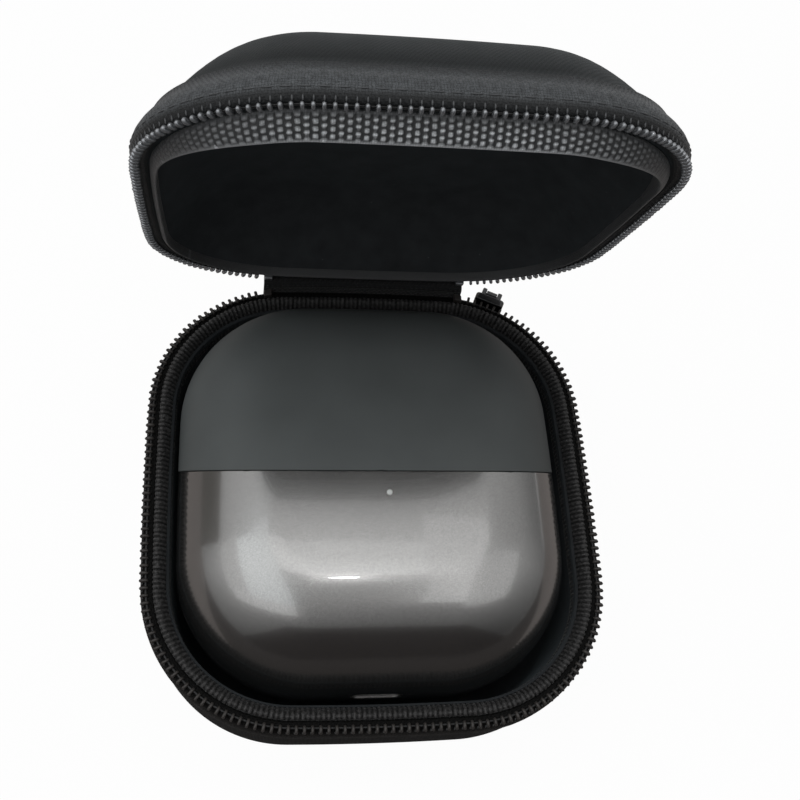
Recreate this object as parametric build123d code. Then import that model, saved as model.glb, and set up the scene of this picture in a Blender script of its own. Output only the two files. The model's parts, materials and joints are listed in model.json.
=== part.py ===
from build123d import *

import math
import os

# Hard case for a palm-sized electric shaver, with the shaver lying in it.
# Row frame: origin at the middle of the flat underside, +Y to the hinge, +Z up, lid open.
# All lengths are millimetres and all angles are degrees.

# Case halves
CASE_WIDTH = 83.0
CASE_DEPTH = 87.2
CASE_CORNER = 26.5
CASE_BOW = 1.5
BASE_HEIGHT = 29.0
BASE_EDGE = 13.0
BASE_DRAFT = 3.9
LID_HEIGHT = 19.0
LID_EDGE = 21.5
LID_DRAFT = 11.5
FOAM_WALL = 4.0
LINING = 0.6

# Rim of each half, measured down from the rim plane and in from the outline
RIM_TOP = 1.3
TAPE_DEPTH = 6.0
TAPE_WALL = 0.9
TAPE_PROUD = 0.1
COIL_OUTER = 0.05
COIL_INNER = 1.45
COIL_TOP = 0.1
BINDING_OUTER = 2.2
BINDING_INNER = 5.0
BINDING_TOP = 0.3
BINDING_LIP = 3.2

# Hinge between the halves
HINGE_SET_BACK = 0.5
CLOSED_GAP = 0.4
LID_OPEN = 71.2
STRIP_WIDTH = 40.0
STRIP_LEAF = 6.6
STRIP_THICKNESS = 0.5
STRIP_STAND_OFF = 0.4

# Zipper slider and pull, parked at the right-hand end of the coil
SLIDER_X = 25.5
SLIDER_LENGTH = 6.0
SLIDER_HEIGHT = 5.0
SLIDER_PLATE = 1.6
SLIDER_CLEAR = 0.15
EAR_REACH = 2.6
EAR_LENGTH = 0.9
PULL_PIN_RADIUS = 0.5
PULL_CLEARANCE = 0.08
PULL_EYE_RADIUS = 1.15
PULL_WIDTH = 4.6
PULL_NECK = 2.2
PULL_LENGTH = 13.0
PULL_THICKNESS = 0.9
STOP_LENGTH = 1.6

# Shaver, a rounded pebble split by a leaning seam into body and cap
SHAVER_WIDTH = 70.2
SHAVER_LENGTH = 74.2
SHAVER_THICKNESS = 39.0
SHAVER_CORNER = 23.5
SHAVER_BOW = 0.8
SHAVER_EDGE = 16.0
SHAVER_X = -0.6
SHAVER_Y = 0.5
SHAVER_REST = 4.6
SEAM_Y = 4.7
SEAM_LEAN = 22.3
SEAM_GAP = 0.2
BODY_WALL = 2.0
CAP_WALL = 1.8
GASKET_HALF = 0.4
GASKET_SET_IN = 0.9

# Head base
DECK_CLEAR = 0.2
DECK_BELOW = 3.0
DECK_ABOVE = 2.5
BOSS_X = 51.2
BOSS_Z = 20.0
BOSS_CORNER = 5.0
BOSS_TOP = 16.5
DRIVE_SLOT_X = 10.0
DRIVE_SLOT_Z = 8.0

# Foil head, which floats on the head base
FRAME_X = 56.0
FRAME_Z = 26.0
FRAME_CORNER = 7.0
FRAME_WALL = 1.6
FRAME_LOW = 15.0
FRAME_TOP = 26.0
FOIL_PITCH = 7.7
FOIL_RADIUS = 3.4
FOIL_WALL = 0.2
FOIL_LENGTH = 45.0
SLIT_WIDTH = 5.0
SLIT_TOP = 28.8
SLIT_COUNT = 12
SLIT_CUT = 0.8

# Cutters, which shuttle along X inside the foil head
CARRIER_X = 40.0
CARRIER_Z = 21.6
CARRIER_LOW = 19.5
CARRIER_TOP = 21.3
SOCKET_RADIUS = 3.0
SOCKET_LOW = 17.2
SOCKET_FLOOR = 20.7
BLADE_CLEARANCE = 0.1
BLADE_SLATS = 21
BLADE_SLAT = 0.8
BLADE_SPINE = 1.6
BLADE_SPINE_TOP = 25.0
SLIT_BLADE_WIDTH = 2.0

# Drive
PIN_RADIUS = 1.5
PIN_CLEARANCE = 0.08
PIN_TOP = 18.8
ARMATURE = (26.0, 3.0, 12.0)
ARMATURE_Y = -5.1
MAGNET = (5.0, 0.9, 10.0)
MAGNET_PITCH = 7.0
YOKE = (38.0, 12.0, 17.0)
YOKE_Y = -12.8
YOKE_WALL = 2.4
COIL_CORE_RADIUS = 1.8
COIL_RADIUS = 3.4
COIL_LENGTH = 22.0
LEAF = (0.3, 4.2, 9.0)
LEAF_X = 15.5

# Power, boards and frame inside the body
BATTERY_RADIUS = 6.2
BATTERY_LENGTH = 39.0
BATTERY_TIP = (2.0, 1.2)
BATTERY_Y = -25.2
BATTERY_Z = 7.4
CHARGE_BOARD = (34.0, 11.5, 1.2)
CHARGE_BOARD_Y = -25.6
CONTROL_BOARD = (48.0, 26.0, 1.2)
CONTROL_BOARD_Y = -10.0
CONTROL_BOARD_Z = -11.6
CHASSIS = (49.0, 21.0, 1.6)
CHASSIS_Y = -14.2
CHASSIS_Z = 9.8
POST_RADIUS = 2.2
POST_X = 22.0
POST_ROWS = (-6.5, -20.0)
SCREW_RADIUS = 0.9
SCREW_HEAD_RADIUS = 1.8
SCREW_HEAD = 1.2
SCREW_LENGTH = 14.0
SCREW_SEAT_Z = -16.6
SCREW_CLEARANCE = 0.05

# Socket, lamp and power button
USB_WIDTH = 9.0
USB_HEIGHT = 3.2
USB_WALL = 0.3
USB_DEPTH = 7.4
USB_Z = -1.0
USB_TONGUE = (6.6, 0.7)
USB_SET_IN = 0.2
LAMP_X = 1.2
LAMP_Y = -7.2
LAMP_RADIUS = 0.5
LAMP_LENGTH = 7.0
BUTTON_Y = -8.0
BUTTON_RADIUS = 4.3
BUTTON_CLEARANCE = 0.15
BUTTON_SET_IN = 0.3
BUTTON_FLANGE_RADIUS = 5.2
BUTTON_FLANGE = 0.8
BUTTON_STEM_RADIUS = 1.4
BUTTON_STEM_TOP = -15.2
SWITCH = (4.5, 4.5, 2.4)
GASKET_RING = (6.6, 5.5, 0.6)

# Release buttons on the two ends of the head base
HOUSING = (5.0, 5.0, 10.0)
HOUSING_X = 28.6
HOUSING_Y = 10.6
RELEASE = (4.0, 3.2, 7.0)
RELEASE_CLEARANCE = 0.15
RELEASE_PROUD = 0.9

# Round-wire coil springs
SPRING_WIRE = 0.2
FLOAT_SPRING_X = 23.9
FLOAT_SPRING_RADIUS = 1.1
FLOAT_SPRING_TURNS = 5
BUTTON_SPRING_TURNS = 2
RELEASE_SPRING_RADIUS = 0.9
RELEASE_SPRING_TURNS = 2

# Values worked out from the sizes above
HINGE_Y = CASE_DEPTH / 2 + HINGE_SET_BACK
HINGE_Z = BASE_HEIGHT + CLOSED_GAP
HINGE_AXIS = Axis((0, HINGE_Y, HINGE_Z), (1, 0, 0))
SHAVER_HALF_Z = SHAVER_THICKNESS / 2
SHAVER_PLACE = Location((SHAVER_X, SHAVER_Y, SHAVER_REST + SHAVER_HALF_Z))
BIG = 2 * CASE_DEPTH
OVERSHOOT = 1.0


# ---------------------------------------------------------------- shared shapes


def bowed_face(width, depth, corner, bow):
    """Flat face with four gently bowed sides and round corners."""
    x, y = width / 2 - bow, depth / 2 - bow
    corners = [(x, y), (-x, y), (-x, -y), (x, -y)]
    middles = [(0, depth / 2), (-width / 2, 0), (0, -depth / 2), (width / 2, 0)]
    sides = [
        ThreePointArc(corners[i], middles[i], corners[(i + 1) % 4]) for i in range(4)
    ]
    face = make_face(sides)
    return fillet(face.vertices(), corner)


def case_face(inset):
    """Outline of the case, moved in by inset."""
    return bowed_face(
        CASE_WIDTH - 2 * inset, CASE_DEPTH - 2 * inset, CASE_CORNER - inset, CASE_BOW
    )


def case_block(height, edge, draft, inset=0.0):
    """Solid half of the case, rim plane at Z 0 and its drafted, rounded body below."""
    block = extrude(case_face(inset), height - inset, dir=(0, 0, -1), taper=draft)
    far_face = block.faces().sort_by(Axis.Z)[0]
    return fillet(far_face.edges(), edge - inset)


def rim_ring(outer, inner, top, bottom):
    """Ring that follows the rim, between two insets and two depths below the rim plane."""
    ring = extrude(case_face(outer), bottom - top, dir=(0, 0, -1))
    ring -= extrude(case_face(inner), bottom - top, dir=(0, 0, -1))
    return Pos(0, 0, -top) * ring


def pebble(inset=0.0):
    """Rounded shaver outline as a solid, moved in by inset."""
    face = bowed_face(
        SHAVER_WIDTH - 2 * inset, SHAVER_LENGTH - 2 * inset, SHAVER_CORNER - inset, SHAVER_BOW
    )
    block = extrude(face, SHAVER_HALF_Z - inset, both=True)
    loops = block.faces().sort_by(Axis.Z)
    return fillet(loops[0].edges() + loops[-1].edges(), SHAVER_EDGE - inset)


def seam_plane(offset=0.0):
    """Leaning plane between the shaver's body and cap, facing the cap."""
    lean = math.radians(SEAM_LEAN)
    normal = (0, math.cos(lean), math.sin(lean))
    origin = (0, SEAM_Y + offset * normal[1], offset * normal[2])
    return Plane(origin=origin, z_dir=normal)


def before_seam(solid, offset=0.0):
    """Part of a solid on the body's side of the seam."""
    return split(solid, bisect_by=seam_plane(offset), keep=Keep.BOTTOM)


def after_seam(solid, offset=0.0):
    """Part of a solid on the cap's side of the seam."""
    return split(solid, bisect_by=seam_plane(offset), keep=Keep.TOP)


def head_prism(width, height, corner, low, top):
    """Rounded bar standing along +Y, from low to top."""
    plane = Plane(origin=(0, low, 0), x_dir=(1, 0, 0), z_dir=(0, 1, 0))
    return extrude(plane * RectangleRounded(width, height, corner), top - low)


def rod_along_y(radius, low, top, x=0.0, z=0.0):
    """Cylinder along Y, from low to top."""
    rod = Cylinder(radius, top - low, rotation=(90, 0, 0))
    return Pos(x, (low + top) / 2, z) * rod


def rod_along_x(radius, length):
    """Cylinder along X, centred."""
    return Cylinder(radius, length, rotation=(0, 90, 0))


def group(solids):
    """Several separate solids as one part."""
    joined = solids[0]
    for solid in solids[1:]:
        joined += solid
    return joined


def coil_spring(radius, height, turns):
    """Coil spring standing along +Z from Z 0, with its wire inside that height."""
    rise = height - 2 * SPRING_WIRE
    path = Pos(0, 0, SPRING_WIRE) * Helix(rise / turns, rise, radius)
    section = Plane(path @ 0, z_dir=path % 0) * Circle(SPRING_WIRE)
    return sweep(section, path=path, is_frenet=True)


# ---------------------------------------------------------------- case halves


def half_shell(height, edge, draft):
    """Moulded foam shell of one half, cut away for the zipper tape and the rim."""
    shell = case_block(height, edge, draft) - case_block(height, edge, draft, FOAM_WALL)
    shell -= rim_ring(-OVERSHOOT, TAPE_WALL, 0, TAPE_DEPTH)
    return shell - Pos(0, 0, -RIM_TOP / 2) * Box(BIG, BIG, RIM_TOP)


def half_lining(height, edge, draft):
    """Thin fabric lining of one half."""
    inner = FOAM_WALL + LINING
    lining = case_block(height, edge, draft, FOAM_WALL) - case_block(height, edge, draft, inner)
    return lining - Pos(0, 0, -RIM_TOP / 2) * Box(BIG, BIG, RIM_TOP)


def half_binding(height, edge, draft):
    """Ribbon over the inner edge of the rim, with a lip down inside the lining."""
    top = rim_ring(BINDING_OUTER, BINDING_INNER, BINDING_TOP, RIM_TOP)
    outer = case_block(height, edge, draft, FOAM_WALL + LINING)
    lip = outer - case_block(height, edge, draft, BINDING_INNER)
    reach = Box(BIG, BIG, BINDING_LIP - BINDING_TOP)
    return top + (lip & Pos(0, 0, -(BINDING_TOP + BINDING_LIP) / 2) * reach)


def half_tape():
    """Woven zipper tape round the outside of the rim."""
    return rim_ring(-TAPE_PROUD, TAPE_WALL, RIM_TOP, TAPE_DEPTH)


def neck_cutter():
    """Block over the hinge strip, where the coil is missing."""
    return Pos(0, CASE_DEPTH / 2, 0) * Box(STRIP_WIDTH, CASE_CORNER, TAPE_DEPTH)


def half_teeth():
    """Zipper coil on the outer corner of the rim, open at the hinge strip."""
    return rim_ring(COIL_OUTER, COIL_INNER, COIL_TOP, RIM_TOP) - neck_cutter()


def half_stops():
    """Two end stops that close the ends of the coil beside the hinge strip."""
    band = rim_ring(COIL_OUTER, COIL_INNER, COIL_TOP, RIM_TOP)
    stop = Box(STOP_LENGTH, CASE_CORNER, TAPE_DEPTH)
    x, y = (STRIP_WIDTH - STOP_LENGTH) / 2, CASE_DEPTH / 2
    return band & group([Pos(side * x, y, 0) * stop for side in (-1, 1)])


def on_base(solid):
    """Half of the case in the base's place."""
    return Pos(0, 0, BASE_HEIGHT) * solid


def on_lid(solid):
    """Half of the case turned over, set on the hinge and opened."""
    closed = Pos(0, 0, HINGE_Z) * mirror(solid, about=Plane.XY)
    return closed.rotate(HINGE_AXIS, -LID_OPEN)


def hinge_strip():
    """Fabric strip that joins the two halves behind the rim, bent at the hinge."""
    lean = math.radians(LID_OPEN)
    wall_y = CASE_DEPTH / 2 + STRIP_STAND_OFF
    lid_back = (math.sin(lean), math.cos(lean))
    fold = (HINGE_Y, HINGE_Z)
    lid_end = (fold[0] + STRIP_LEAF * lid_back[0], fold[1] + STRIP_LEAF * lid_back[1])
    points = [(wall_y, HINGE_Z - STRIP_LEAF), (wall_y, BASE_HEIGHT), fold, lid_end]
    path = Plane.YZ * Polyline(*points)
    profile = offset(path, STRIP_THICKNESS / 2, kind=Kind.INTERSECTION)
    return extrude(make_face(profile), STRIP_WIDTH / 2, both=True)


# ---------------------------------------------------------------- zipper slider


def corner_centre():
    """Centre of the arc at the rear right corner, round which the slider runs."""
    sides = case_face(0).edges()
    arcs = [side for side in sides if math.isclose(side.radius, CASE_CORNER, abs_tol=0.01)]
    return max((arc.arc_center for arc in arcs), key=lambda centre: centre.X + centre.Y)


def slider_place():
    """Location on the corner's arc at the slider: X along the rim, Y outward, Z up."""
    centre = corner_centre()
    turn = math.asin((SLIDER_X - centre.X) / CASE_CORNER)
    y = centre.Y + CASE_CORNER * math.cos(turn)
    return Location((SLIDER_X, y, BASE_HEIGHT), (0, 0, -math.degrees(turn)))


PIN_OUT = SLIDER_CLEAR + SLIDER_PLATE + EAR_REACH / 2
PIN_DOWN = SLIDER_HEIGHT / 2


def zipper_slider():
    """Slider with two ears and a cross pin for the pull."""
    plate_y = SLIDER_CLEAR + SLIDER_PLATE / 2
    plate = Box(SLIDER_LENGTH, SLIDER_PLATE, SLIDER_HEIGHT)
    plate = fillet(plate.edges().filter_by(Axis.Y), SLIDER_PLATE / 2)
    slider = Pos(0, plate_y, -SLIDER_HEIGHT / 2) * plate
    ear_x = PULL_NECK / 2 + PULL_CLEARANCE + EAR_LENGTH / 2
    ear_y = SLIDER_CLEAR + SLIDER_PLATE + EAR_REACH / 2
    ear = Box(EAR_LENGTH, EAR_REACH, EAR_REACH)
    ear = fillet(ear.edges().filter_by(Axis.X), EAR_REACH / 3)
    root = Box(EAR_LENGTH, EAR_REACH / 2, EAR_REACH)
    for side in (-1, 1):
        slider += Pos(side * ear_x, ear_y, -PIN_DOWN) * ear
        slider += Pos(side * ear_x, ear_y - EAR_REACH / 4, -PIN_DOWN) * root
    pin = rod_along_x(PULL_PIN_RADIUS, 2 * ear_x)
    return slider + Pos(0, PIN_OUT, -PIN_DOWN) * pin


def zipper_pull():
    """Hanging pull tab with an eye round the slider's pin."""
    eye = rod_along_x(PULL_EYE_RADIUS, PULL_NECK)
    neck = Box(PULL_NECK, PULL_THICKNESS, PULL_LENGTH / 2)
    neck = Pos(0, 0, -PULL_LENGTH / 4) * neck
    tab_length = PULL_LENGTH - 2 * PULL_EYE_RADIUS
    tab = extrude(RectangleRounded(PULL_WIDTH, tab_length, PULL_WIDTH / 3), PULL_THICKNESS)
    tab = Pos(0, PULL_THICKNESS / 2, -PULL_LENGTH + tab_length / 2) * Rot(90, 0, 0) * tab
    pull = eye + neck + tab
    pull -= rod_along_x(PULL_PIN_RADIUS + PULL_CLEARANCE, PULL_WIDTH)
    return Pos(0, PIN_OUT, -PIN_DOWN) * pull


# ---------------------------------------------------------------- shaver shells


def gasket_band():
    """Flat ring between the two body shells, inside the outer wall."""
    ring = pebble(GASKET_SET_IN) - pebble(BODY_WALL)
    band = before_seam(ring & Box(BIG, BIG, 2 * GASKET_HALF))
    return band - usb_block(USB_WIDTH, USB_HEIGHT, SHAVER_EDGE)


def body_shells():
    """Front and rear body shells with their openings."""
    hollow = before_seam(pebble() - pebble(BODY_WALL)) - gasket_band()
    hollow -= usb_block(USB_WIDTH, USB_HEIGHT, SHAVER_EDGE)
    upper = hollow & Pos(0, 0, SHAVER_HALF_Z) * Box(BIG, BIG, SHAVER_THICKNESS)
    lower = hollow & Pos(0, 0, -SHAVER_HALF_Z) * Box(BIG, BIG, SHAVER_THICKNESS)
    upper -= Pos(LAMP_X, LAMP_Y, SHAVER_HALF_Z) * Cylinder(LAMP_RADIUS, SHAVER_HALF_Z)
    hole = BUTTON_RADIUS + BUTTON_CLEARANCE
    lower -= Pos(0, BUTTON_Y, -SHAVER_HALF_Z) * Cylinder(hole, SHAVER_EDGE)
    for x, y in post_places():
        shank = Cylinder(SCREW_RADIUS + SCREW_CLEARANCE, SHAVER_EDGE)
        head = Cylinder(SCREW_HEAD_RADIUS + SCREW_CLEARANCE, SHAVER_HALF_Z)
        lower -= Pos(x, y, -SHAVER_HALF_Z) * shank
        lower -= Pos(x, y, SCREW_SEAT_Z - SHAVER_HALF_Z / 2) * head
        cup = Cylinder(SCREW_HEAD_RADIUS + BODY_WALL / 2, BODY_WALL)
        cup -= Cylinder(SCREW_RADIUS + SCREW_CLEARANCE, BODY_WALL)
        lower += Pos(x, y, SCREW_SEAT_Z + BODY_WALL / 2) * cup
    return upper, lower


def cap_shell():
    """Hollow cap over the foil head, open at the seam."""
    return after_seam(pebble() - pebble(CAP_WALL), SEAM_GAP)


def usb_block(width, height, depth):
    """Rounded slot going in from the front end of the body."""
    end = -SHAVER_LENGTH / 2
    plane = Plane(origin=(0, end, USB_Z), x_dir=(1, 0, 0), z_dir=(0, -1, 0))
    slot = plane * SlotOverall(width, height)
    return extrude(slot, -depth, both=True)


def usb_port():
    """Charging socket shell with its tongue."""
    end = -SHAVER_LENGTH / 2 + USB_SET_IN
    plane = Plane(origin=(0, end, USB_Z), x_dir=(1, 0, 0), z_dir=(0, 1, 0))
    outer = extrude(plane * SlotOverall(USB_WIDTH, USB_HEIGHT), USB_DEPTH)
    inner = plane * SlotOverall(USB_WIDTH - 2 * USB_WALL, USB_HEIGHT - 2 * USB_WALL)
    shell = outer - extrude(inner, USB_DEPTH - USB_WALL)
    tongue = Box(USB_TONGUE[0], USB_DEPTH - USB_HEIGHT, USB_TONGUE[1])
    return shell + Pos(0, end + USB_DEPTH / 2 + USB_HEIGHT / 2, USB_Z) * tongue


def indicator_lamp():
    """Light pipe that shows as a dot in the front shell."""
    return Pos(LAMP_X, LAMP_Y, SHAVER_HALF_Z - LAMP_LENGTH / 2) * Cylinder(
        LAMP_RADIUS, LAMP_LENGTH
    )


# ---------------------------------------------------------------- power button


def power_button():
    """Round button in the rear shell, with a flange behind the wall and a stem."""
    outer = -SHAVER_HALF_Z + BUTTON_SET_IN
    flange_low = -SHAVER_HALF_Z + BODY_WALL + BUTTON_SET_IN
    face = Cylinder(BUTTON_RADIUS, flange_low - outer)
    button = Pos(0, 0, (outer + flange_low) / 2) * face
    flange = Cylinder(BUTTON_FLANGE_RADIUS, BUTTON_FLANGE)
    button += Pos(0, 0, flange_low + BUTTON_FLANGE / 2) * flange
    stem = Cylinder(BUTTON_STEM_RADIUS, BUTTON_STEM_TOP - flange_low)
    button += Pos(0, 0, (BUTTON_STEM_TOP + flange_low) / 2) * stem
    return Pos(0, BUTTON_Y, 0) * button


def button_spring():
    """Return spring between the button's flange and the control board."""
    low = -SHAVER_HALF_Z + BODY_WALL + BUTTON_SET_IN + BUTTON_FLANGE
    top = CONTROL_BOARD_Z - CONTROL_BOARD[2] / 2
    radius = SWITCH[0] * math.sqrt(2) / 2 + 2 * SPRING_WIRE
    spring = coil_spring(radius, top - low, BUTTON_SPRING_TURNS)
    return Pos(0, BUTTON_Y, low) * spring


def button_gasket():
    """Rubber ring against the inside of the rear shell, round the button's flange."""
    outer, inner, height = GASKET_RING
    ring = Cylinder(outer, height) - Cylinder(inner, height)
    return Pos(0, BUTTON_Y, -SHAVER_HALF_Z + BODY_WALL + height / 2) * ring


def tact_switch():
    """Switch under the control board, just above the button's stem."""
    z = CONTROL_BOARD_Z - CONTROL_BOARD[2] / 2 - SWITCH[2] / 2
    return Pos(0, BUTTON_Y, z) * Box(*SWITCH)


# ---------------------------------------------------------------- inside the body


def post_places():
    """Places of the four screws, as X and Y."""
    return [(side * POST_X, y) for side in (-1, 1) for y in POST_ROWS]


def chassis():
    """Frame plate with four posts and a window for the battery."""
    plate = Pos(0, CHASSIS_Y, CHASSIS_Z) * Box(*CHASSIS)
    window_x = BATTERY_LENGTH + 2 * BATTERY_TIP[1] + OVERSHOOT
    window_y = CHASSIS[1]
    plate -= Pos(0, BATTERY_Y - CHASSIS[1] / 2 + BATTERY_RADIUS, CHASSIS_Z) * Box(
        window_x, window_y, BATTERY_RADIUS
    )
    low = CONTROL_BOARD_Z + CONTROL_BOARD[2] / 2
    for x, y in post_places():
        post = Cylinder(POST_RADIUS, CHASSIS_Z - low)
        plate += Pos(x, y, (CHASSIS_Z + low) / 2) * post
        bore_top = SCREW_SEAT_Z + SCREW_LENGTH + OVERSHOOT
        bore = Cylinder(SCREW_RADIUS + SCREW_CLEARANCE, bore_top - low)
        plate -= Pos(x, y, (bore_top + low) / 2) * bore
    return plate


def case_screws():
    """Four pan-head screws that hold the rear shell to the chassis."""
    screws = []
    for x, y in post_places():
        head = Cylinder(SCREW_HEAD_RADIUS, SCREW_HEAD)
        shank = Cylinder(SCREW_RADIUS, SCREW_LENGTH)
        screw = Pos(0, 0, -SCREW_HEAD / 2) * head + Pos(0, 0, SCREW_LENGTH / 2) * shank
        screws.append(Pos(x, y, SCREW_SEAT_Z) * screw)
    return group(screws)


def battery():
    """Single round cell lying across the body, with its raised tip."""
    cell = rod_along_x(BATTERY_RADIUS, BATTERY_LENGTH)
    tip_x = (BATTERY_LENGTH + BATTERY_TIP[1]) / 2
    cell += Pos(tip_x, 0, 0) * rod_along_x(*BATTERY_TIP)
    return Pos(0, BATTERY_Y, BATTERY_Z) * cell


def charge_board():
    """Small board that carries the charging socket."""
    z = USB_Z - USB_HEIGHT / 2 - CHARGE_BOARD[2] / 2
    return Pos(0, CHARGE_BOARD_Y, z) * Box(*CHARGE_BOARD)


def control_board():
    """Board that carries the switch, with holes for the screws."""
    board = Pos(0, CONTROL_BOARD_Y, CONTROL_BOARD_Z) * Box(*CONTROL_BOARD)
    for x, y in post_places():
        hole = Cylinder(SCREW_RADIUS + SCREW_CLEARANCE, BIG)
        board -= Pos(x, y, 0) * hole
    return board


def motor_yoke():
    """Trough-shaped stator of the linear motor, open to the armature."""
    x, y, z = YOKE
    pocket = Box(x - 2 * YOKE_WALL, y, z - 2 * YOKE_WALL)
    return Pos(0, YOKE_Y, 0) * (Box(x, y, z) - Pos(0, YOKE_WALL, 0) * pocket)


def motor_coil():
    """Wound coil on its core, lying in the yoke."""
    coil = rod_along_x(COIL_RADIUS, COIL_LENGTH)
    core = rod_along_x(COIL_CORE_RADIUS, YOKE[0] - 2 * YOKE_WALL)
    return Pos(0, YOKE_Y, 0) * (coil + core)


def motor_armature():
    """Plate that shuttles above the yoke."""
    return Pos(0, ARMATURE_Y, 0) * Box(*ARMATURE)


def motor_magnets():
    """Magnets under the armature."""
    y = ARMATURE_Y - ARMATURE[1] / 2 - MAGNET[1] / 2
    return group([Pos(i * MAGNET_PITCH, y, 0) * Box(*MAGNET) for i in (-1, 0, 1)])


def motor_springs():
    """Pair of leaf springs between the yoke's ends and the armature's sides."""
    y = YOKE_Y + (YOKE[1] + LEAF[1]) / 2
    return group([Pos(side * LEAF_X, y, 0) * Box(*LEAF) for side in (-1, 1)])


def drive_pin():
    """Pin from the armature to the cutter carrier."""
    return rod_along_y(PIN_RADIUS, ARMATURE_Y + ARMATURE[1] / 2, PIN_TOP)


# ---------------------------------------------------------------- head base


def head_base():
    """Deck that closes the body, with the head's boss and two button housings."""
    deck = after_seam(before_seam(pebble(BODY_WALL + DECK_CLEAR), DECK_ABOVE), -DECK_BELOW)
    boss = head_prism(BOSS_X, BOSS_Z, BOSS_CORNER, SEAM_Y, BOSS_TOP)
    base = deck + after_seam(boss)
    for side in (-1, 1):
        housing = Pos(side * HOUSING_X, HOUSING_Y, 0) * Box(*HOUSING)
        base += after_seam(housing)
    slot = Box(DRIVE_SLOT_X, BIG, DRIVE_SLOT_Z)
    base -= Pos(0, BIG / 2 + ARMATURE_Y, 0) * slot
    pocket_x, pocket_y, pocket_z = [size + 2 * RELEASE_CLEARANCE for size in RELEASE]
    for side in (-1, 1):
        pocket = Box(2 * pocket_x, pocket_y, pocket_z)
        mouth = HOUSING_X + HOUSING[0] / 2
        base -= Pos(side * mouth, HOUSING_Y, 0) * pocket
    return base


def release_button(side):
    """Push button in the end of the head base; side is -1 for left and 1 for right."""
    button = Box(*RELEASE)
    outer = button.faces().sort_by(Axis.X)[-1 if side > 0 else 0]
    button = fillet(outer.edges(), RELEASE_PROUD / 2)
    x = HOUSING_X + HOUSING[0] / 2 + RELEASE_PROUD - RELEASE[0] / 2
    return Pos(side * x, HOUSING_Y, 0) * button


def release_spring(side):
    """Spring behind a release button."""
    mouth = HOUSING_X + HOUSING[0] / 2
    floor = mouth - RELEASE[0] - RELEASE_CLEARANCE * 2
    back = mouth + RELEASE_PROUD - RELEASE[0]
    spring = coil_spring(RELEASE_SPRING_RADIUS, back - floor, RELEASE_SPRING_TURNS)
    turned = Rot(0, 90 * side, 0) * spring
    return Pos(side * floor, HOUSING_Y, 0) * turned


# ---------------------------------------------------------------- foil head


def foil_rows():
    """Distance of each of the three cutting rows from the head's middle."""
    return (-FOIL_PITCH, 0.0, FOIL_PITCH)


def foil_frame():
    """Skirted frame with a window for each row."""
    frame = head_prism(FRAME_X, FRAME_Z, FRAME_CORNER, FRAME_LOW, FRAME_TOP)
    inner_corner = FRAME_CORNER - FRAME_WALL
    inner_x, inner_z = FRAME_X - 2 * FRAME_WALL, FRAME_Z - 2 * FRAME_WALL
    frame -= head_prism(inner_x, inner_z, inner_corner, FRAME_LOW, FRAME_TOP - FRAME_WALL)
    widths = (2 * FOIL_RADIUS, SLIT_WIDTH, 2 * FOIL_RADIUS)
    for z, width in zip(foil_rows(), widths):
        window = Box(FOIL_LENGTH, 3 * FRAME_WALL, width)
        frame -= Pos(0, FRAME_TOP, z) * window
    return frame


def outer_foil(row):
    """Arched shaving foil with straight legs down into its window."""
    arch = rod_along_x(FOIL_RADIUS, FOIL_LENGTH) - rod_along_x(
        FOIL_RADIUS - FOIL_WALL, FOIL_LENGTH
    )
    arch &= Pos(0, FOIL_RADIUS, 0) * Box(FOIL_LENGTH, 2 * FOIL_RADIUS, 2 * FOIL_RADIUS)
    leg = Box(FOIL_LENGTH, FRAME_WALL, FOIL_WALL)
    for side in (-1, 1):
        leg_z = side * (FOIL_RADIUS - FOIL_WALL / 2)
        arch += Pos(0, -FRAME_WALL / 2, leg_z) * leg
    return Pos(0, FRAME_TOP, row) * arch


def slit_foil():
    """Square-topped trimmer cover with slits across it."""
    height = SLIT_TOP - FRAME_TOP + FRAME_WALL
    middle = SLIT_TOP - height / 2
    cover = Box(FOIL_LENGTH, height, SLIT_WIDTH)
    cover -= Pos(0, -FOIL_WALL, 0) * Box(FOIL_LENGTH, height, SLIT_WIDTH - 2 * FOIL_WALL)
    pitch = FOIL_LENGTH / (SLIT_COUNT + 1)
    for i in range(SLIT_COUNT):
        x = (i - (SLIT_COUNT - 1) / 2) * pitch
        cover -= Pos(x, height / 2, 0) * Box(SLIT_CUT, height / 2, SLIT_WIDTH)
    return Pos(0, middle, 0) * cover


def float_springs():
    """Two springs that hold the foil head up."""
    height = FRAME_TOP - FRAME_WALL - BOSS_TOP
    springs = []
    for side in (-1, 1):
        spring = coil_spring(FLOAT_SPRING_RADIUS, height, FLOAT_SPRING_TURNS)
        springs.append(Pos(side * FLOAT_SPRING_X, BOSS_TOP, 0) * Rot(-90, 0, 0) * spring)
    return group(springs)


# ---------------------------------------------------------------- cutters


def blade_carrier():
    """Plate that carries the cutters, with a socket for the drive pin."""
    carrier = head_prism(CARRIER_X, CARRIER_Z, 2 * PIN_RADIUS, CARRIER_LOW, CARRIER_TOP)
    carrier += rod_along_y(SOCKET_RADIUS, SOCKET_LOW, CARRIER_LOW)
    return carrier - rod_along_y(PIN_RADIUS + PIN_CLEARANCE, SOCKET_LOW, SOCKET_FLOOR)


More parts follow.
